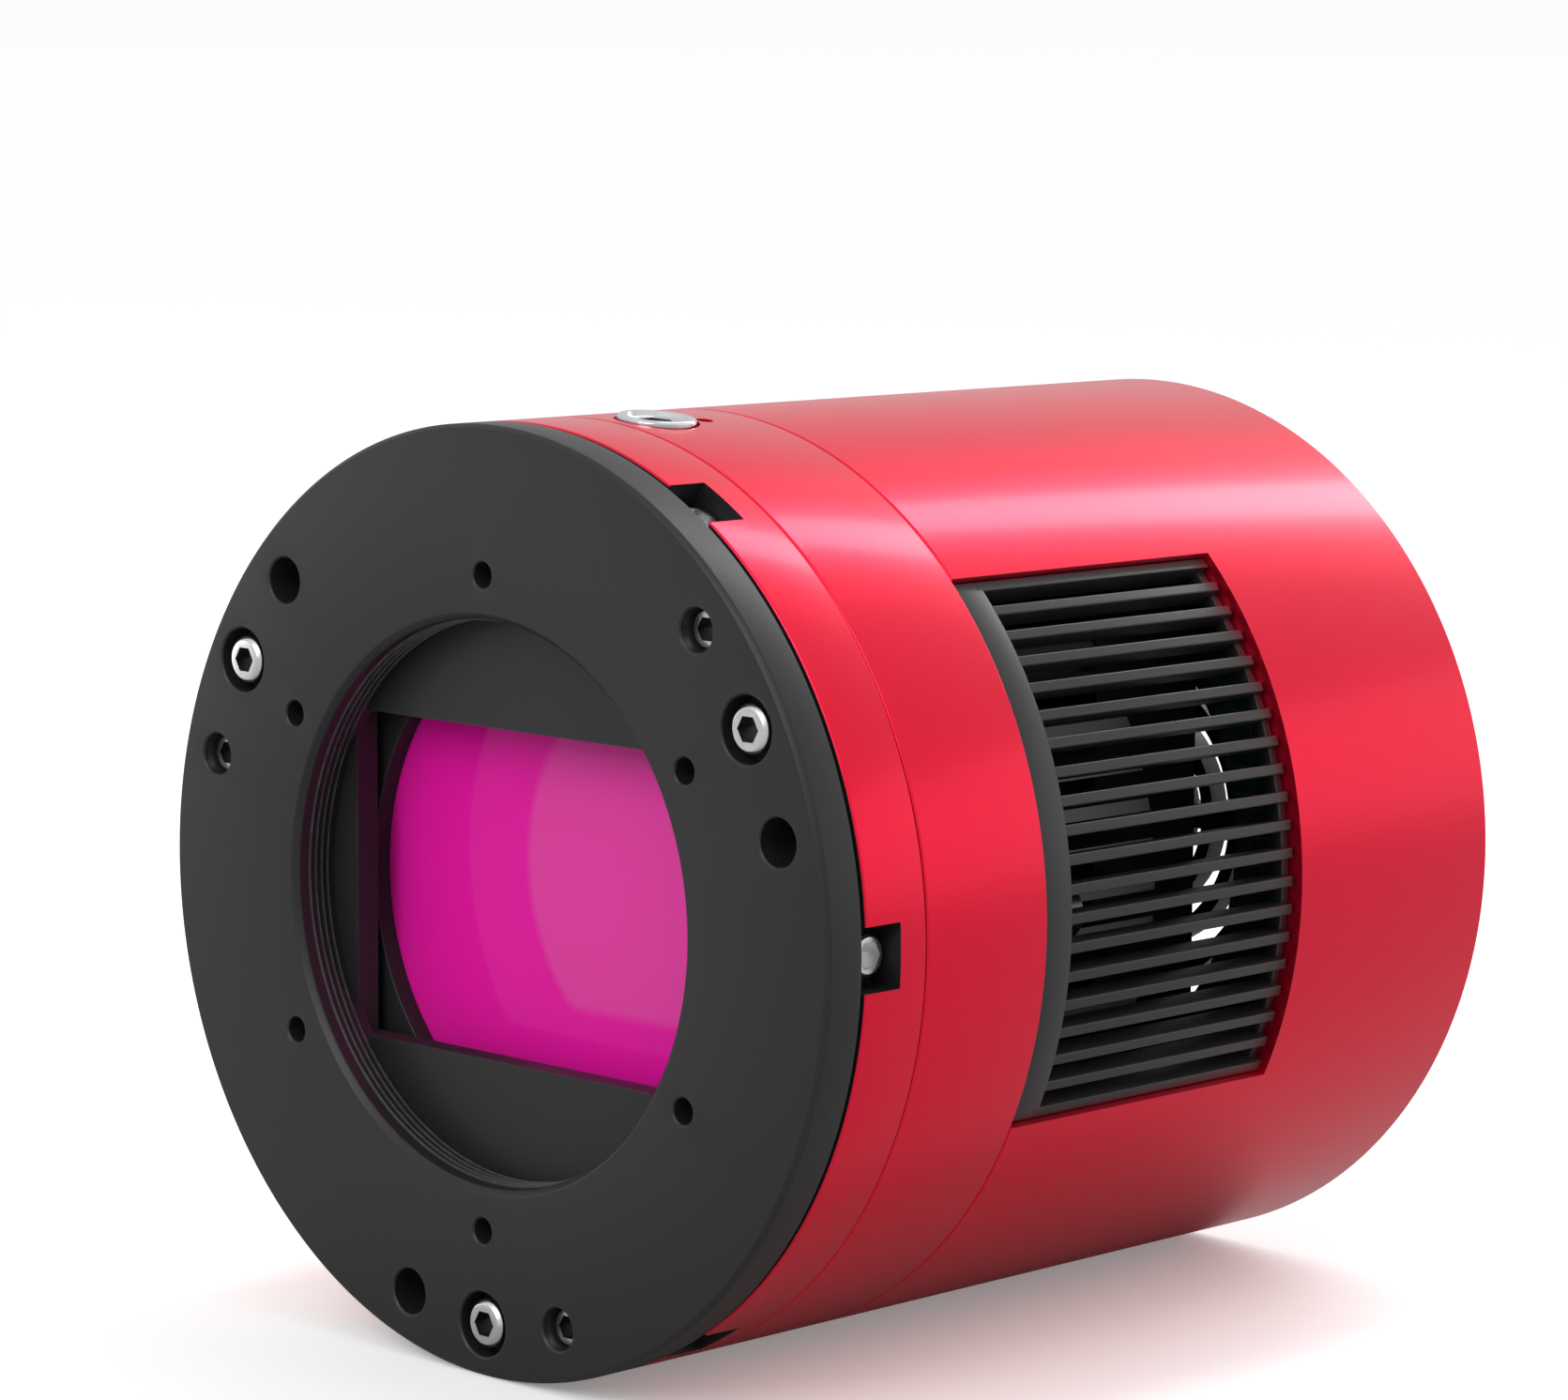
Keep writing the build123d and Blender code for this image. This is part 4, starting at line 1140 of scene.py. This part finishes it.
def make_air_plug():
    plug, angle, head_r = air_plug_place()
    neck_r = head_r - PLUG_NECK
    outline = [
        (0, PLUG_DISH),
        (neck_r, PLUG_DISH),
        (head_r - PLUG_RIM, 0),
        (head_r - PLUG_EDGE, 0),
        (head_r, PLUG_EDGE),
        (head_r, PLUG_HEAD_H),
        (neck_r, PLUG_HEAD_H),
        (neck_r, PLUG_LENGTH),
        (0, PLUG_LENGTH),
    ]
    shape = turned(eased(outline, PLUG_EASE, 2), PLUG_STEPS)
    thing = plain_object("air_plug_body", shape, finishes["plug_steel"])
    cut_socket(thing, *PLUG_SOCKET)
    thing.data.transform(inward(angle, body_r + PLUG_PROUD, plug.y))
    stands_for(smooth(thing), "air_plug")


def make_rear_shell():
    r_in = body_r - SHELL_WALL
    cover_front = low("rear_cover").y
    lip_front = cover_front - LIP_LENGTH
    outline = ring_outline(r_in, seam_2 + SEAM_GAP, body_back, SEAM_EDGE, BACK_EDGE)
    outline += [
        (r_in, cover_front),
        (r_in - LIP_DEPTH, cover_front),
        (r_in - LIP_DEPTH, lip_front),
        (r_in, lip_front - LIP_DEPTH),
    ]
    shape = turned(eased(outline, HOUSING_EASE))
    shell = plain_object("rear_shell_barrel", shape, finishes["housing_red"])
    opening = arc_block(
        r_in - OPENING_CLEAR,
        body_r + OPENING_CLEAR,
        OPENING_BOTTOM,
        OPENING_TOP,
        seam_2 - CLEAR,
        opening_back,
        OPENING_STEPS,
    )
    other = placed(opening, MIRROR)
    bmesh.ops.reverse_faces(other, faces=other.faces)
    carve(shell, gathered([opening, other]))
    stands_for(smooth(shell), "rear_shell")


# ---------------------------------------------------------------- grilles


def make_grille(name, node, mirrored):
    black = finishes["grille_black"]
    gap = math.degrees(FIT_GAP / body_r)
    bottom = OPENING_BOTTOM + gap
    top = OPENING_TOP - gap
    panel_back = opening_back - FIT_GAP
    r_in = grille_r - GRILLE_DEPTH
    pitch = (top - bottom - 2 * GRILLE_MARGIN) / (GRILLE_SLOTS - SLAT_SHARE)
    slat_width = math.radians(pitch * SLAT_SHARE) * grille_r
    slots_front = seam_2 + GRILLE_BAND
    bars_front = slots_front - CLEAR
    slat = block(GRILLE_DEPTH, slat_width, bars_front, panel_back - GRILLE_REAR_BAND * SLAT_INTO_BAND)
    bmesh.ops.translate(slat, vec=((grille_r + r_in) / 2 - SLAT_SINK, 0, 0), verts=slat.verts)
    bar = bevelled(plain_object(name + "_slats", slat, black), SLAT_EASE, 3)
    first = bottom + GRILLE_MARGIN + pitch * (1 - SLAT_SHARE / 2)
    grow(
        bar,
        ROUND_TREE,
        copies=GRILLE_SLOTS - 1,
        first_angle=math.radians(first),
        step_angle=math.radians(pitch),
        material=black,
    )
    rear_r = grille_r - GRILLE_REAR_SINK
    rear_front = panel_back - GRILLE_REAR_BAND
    rails = [
        arc_block(r_in, grille_r, bottom, top, seam_2 + GRILLE_FRONT_GAP, slots_front, GRILLE_STEPS),
        arc_block(r_in, rear_r, bottom, top, rear_front, panel_back, GRILLE_STEPS),
        arc_block(r_in, grille_r, bottom, bottom + GRILLE_MARGIN, bars_front, panel_back, 3),
        arc_block(r_in, grille_r, top - GRILLE_MARGIN, top, bars_front, panel_back, 3),
    ]
    rim = bevelled(plain_object(name + "_rim", gathered(rails), black), RIM_EASE, 2)
    for thing in (bar, rim):
        if mirrored:
            thing.data.transform(MIRROR)
            thing.data.flip_normals()
        smooth(thing)
    stands_for(rim, node)
    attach(bar, body_of[node])


# ---------------------------------------------------------------- inside the bore


def make_chamber_cover():
    front = low("chamber_cover").y
    cover_r = high("chamber_cover").x
    nose_back = high("chamber_cover").y
    rim_r = bore_r + HUB_WALL + COVER_RIM_GAP
    pocket_r = high("window").x + FIT_GAP
    floor_back = front + COVER_FLOOR
    outline = [
        (0, front),
        (rim_r, front),
        (rim_r, housing_front),
        (cover_r, housing_front),
        (cover_r, seam_1),
        (pocket_r + POCKET_WALL, seam_1),
        (pocket_r + POCKET_WALL, nose_back),
        (pocket_r, nose_back),
        (pocket_r, floor_back),
        (0, floor_back),
    ]
    cover = plain_object("mask_cover", turned(eased(outline, COVER_EASE)), finishes["chamber_black"])
    carve(cover, block(MASK_WIDTH, MASK_HEIGHT, front - CLEAR, floor_back + CLEAR))
    stands_for(smooth(cover), "chamber_cover")


def make_aperture_ring():
    lo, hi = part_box("aperture_ring")
    aperture_r = hi.x - APERTURE_WIDTH
    outline = [(aperture_r, lo.y), (hi.x, lo.y), (hi.x, hi.y), (aperture_r, hi.y)]
    shape = turned(eased(outline, APERTURE_EASE))
    ring = plain_object("round_aperture", shape, finishes["chamber_black"])
    stands_for(smooth(ring), "aperture_ring")


def make_window():
    lo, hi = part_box("window")
    outline = eased([(0, lo.y), (hi.x, lo.y), (hi.x, hi.y), (0, hi.y)], GLASS_EASE)
    pane = plain_object("coated_window", turned(outline), finishes["window_glass"])
    stands_for(smooth(pane), "window")


# ---------------------------------------------------------------- stage, light and camera


def make_floor():
    """A pale floor that the camera sees brighter than the object does."""
    shape = bmesh.new()
    bmesh.ops.create_grid(shape, x_segments=1, y_segments=1, size=FLOOR_REACH)
    bmesh.ops.translate(shape, vec=(0, 0, -body_r - FLOOR_GAP), verts=shape.verts)
    finish = Finish("pale_floor", FLOOR_ROUGHNESS, Emission_Strength=1.0)
    grain = finish.group(BLAST, Grains_a_metre=400.0, Patches_a_metre=3.0)
    bounced = finish.mix(grain.outputs["Patch"], *FLOOR_TONES)
    eye = finish.tree.nodes.new("ShaderNodeLightPath").outputs["Is Camera Ray"]
    finish.colour(finish.mix(eye, bounced, FLOOR_WHITE))
    glow = finish.mix(eye, (0.0, 0.0, 0.0), FLOOR_GLOW)
    finish.tree.links.new(glow, finish.shader.inputs["Emission Color"])
    floor = plain_object("floor", shape, finish.material)


def soft_light(name, direction, distance, width, height, power):
    """A soft box that stands in a direction from the object and faces it."""
    lamp = bpy.data.lights.new(name, "AREA")
    lamp.shape = "RECTANGLE"
    lamp.size = width
    lamp.size_y = height
    lamp.energy = power
    thing = bpy.data.objects.new(name, lamp)
    away = Vector(direction).normalized()
    thing.location = LIGHT_TARGET + away * distance
    thing.rotation_euler = (-away).to_track_quat("-Z", "Y").to_euler()
    bpy.context.scene.collection.objects.link(thing)


def make_studio():
    """A white room that is brighter above than below, and the soft boxes."""
    world = bpy.data.worlds.new("studio")
    world.use_nodes = True
    tree = world.node_tree
    link = tree.links.new
    seen = tree.nodes["Background"]
    seen.inputs["Color"].default_value = (*ROOM_WHITE, 1.0)
    given = tree.nodes.new("ShaderNodeBackground")
    direction = axes(tree, tree.nodes.new("ShaderNodeTexCoord").outputs["Generated"])
    strength = spread(tree, direction["Z"], *ROOM_HEIGHTS, *ROOM_LIGHT)
    link(strength, given.inputs["Strength"])
    eye = tree.nodes.new("ShaderNodeLightPath").outputs["Is Camera Ray"]
    mix = tree.nodes.new("ShaderNodeMixShader")
    link(eye, mix.inputs[0])
    link(given.outputs[0], mix.inputs[1])
    link(seen.outputs[0], mix.inputs[2])
    link(mix.outputs[0], tree.nodes["World Output"].inputs["Surface"])
    bpy.context.scene.world = world
    bpy.context.scene.view_settings.view_transform = "Standard"
    for name, settings in LIGHTS.items():
        soft_light(name, *settings)


def make_camera():
    """The camera looks down at the object's front from its right."""
    azimuth = math.radians(CAMERA_AZIMUTH)
    elevation = math.radians(CAMERA_ELEVATION)
    roll = math.radians(CAMERA_ROLL)
    back = Vector(
        (
            math.sin(azimuth) * math.cos(elevation),
            -math.cos(azimuth) * math.cos(elevation),
            math.sin(elevation),
        )
    )
    right = (-back).cross(Vector((0, 0, 1))).normalized()
    up = right.cross(-back)
    turned_right = math.cos(roll) * right + math.sin(roll) * up
    turned_up = -math.sin(roll) * right + math.cos(roll) * up
    camera = bpy.data.objects.new("camera", bpy.data.cameras.new("camera"))
    camera.data.sensor_width = CAMERA_SENSOR
    camera.data.lens = CAMERA_LENS
    camera.data.clip_end = CAMERA_REACH
    turn = Matrix((turned_right, turned_up, back)).transposed().to_4x4()
    camera.matrix_world = Matrix.Translation(CAMERA_PLACE) @ turn
    bpy.context.scene.collection.objects.link(camera)
    bpy.context.scene.camera = camera


make_camera()
make_studio()
make_floor()
make_front_plate()
make_adjusting_screws()
make_front_housing()
make_side_screws()
make_middle_housing()
make_air_plug()
make_rear_shell()
make_grille("right_grille_panel", "right_grille", False)
make_grille("left_grille_panel", "left_grille", True)
make_chamber_cover()
make_aperture_ring()
make_window()
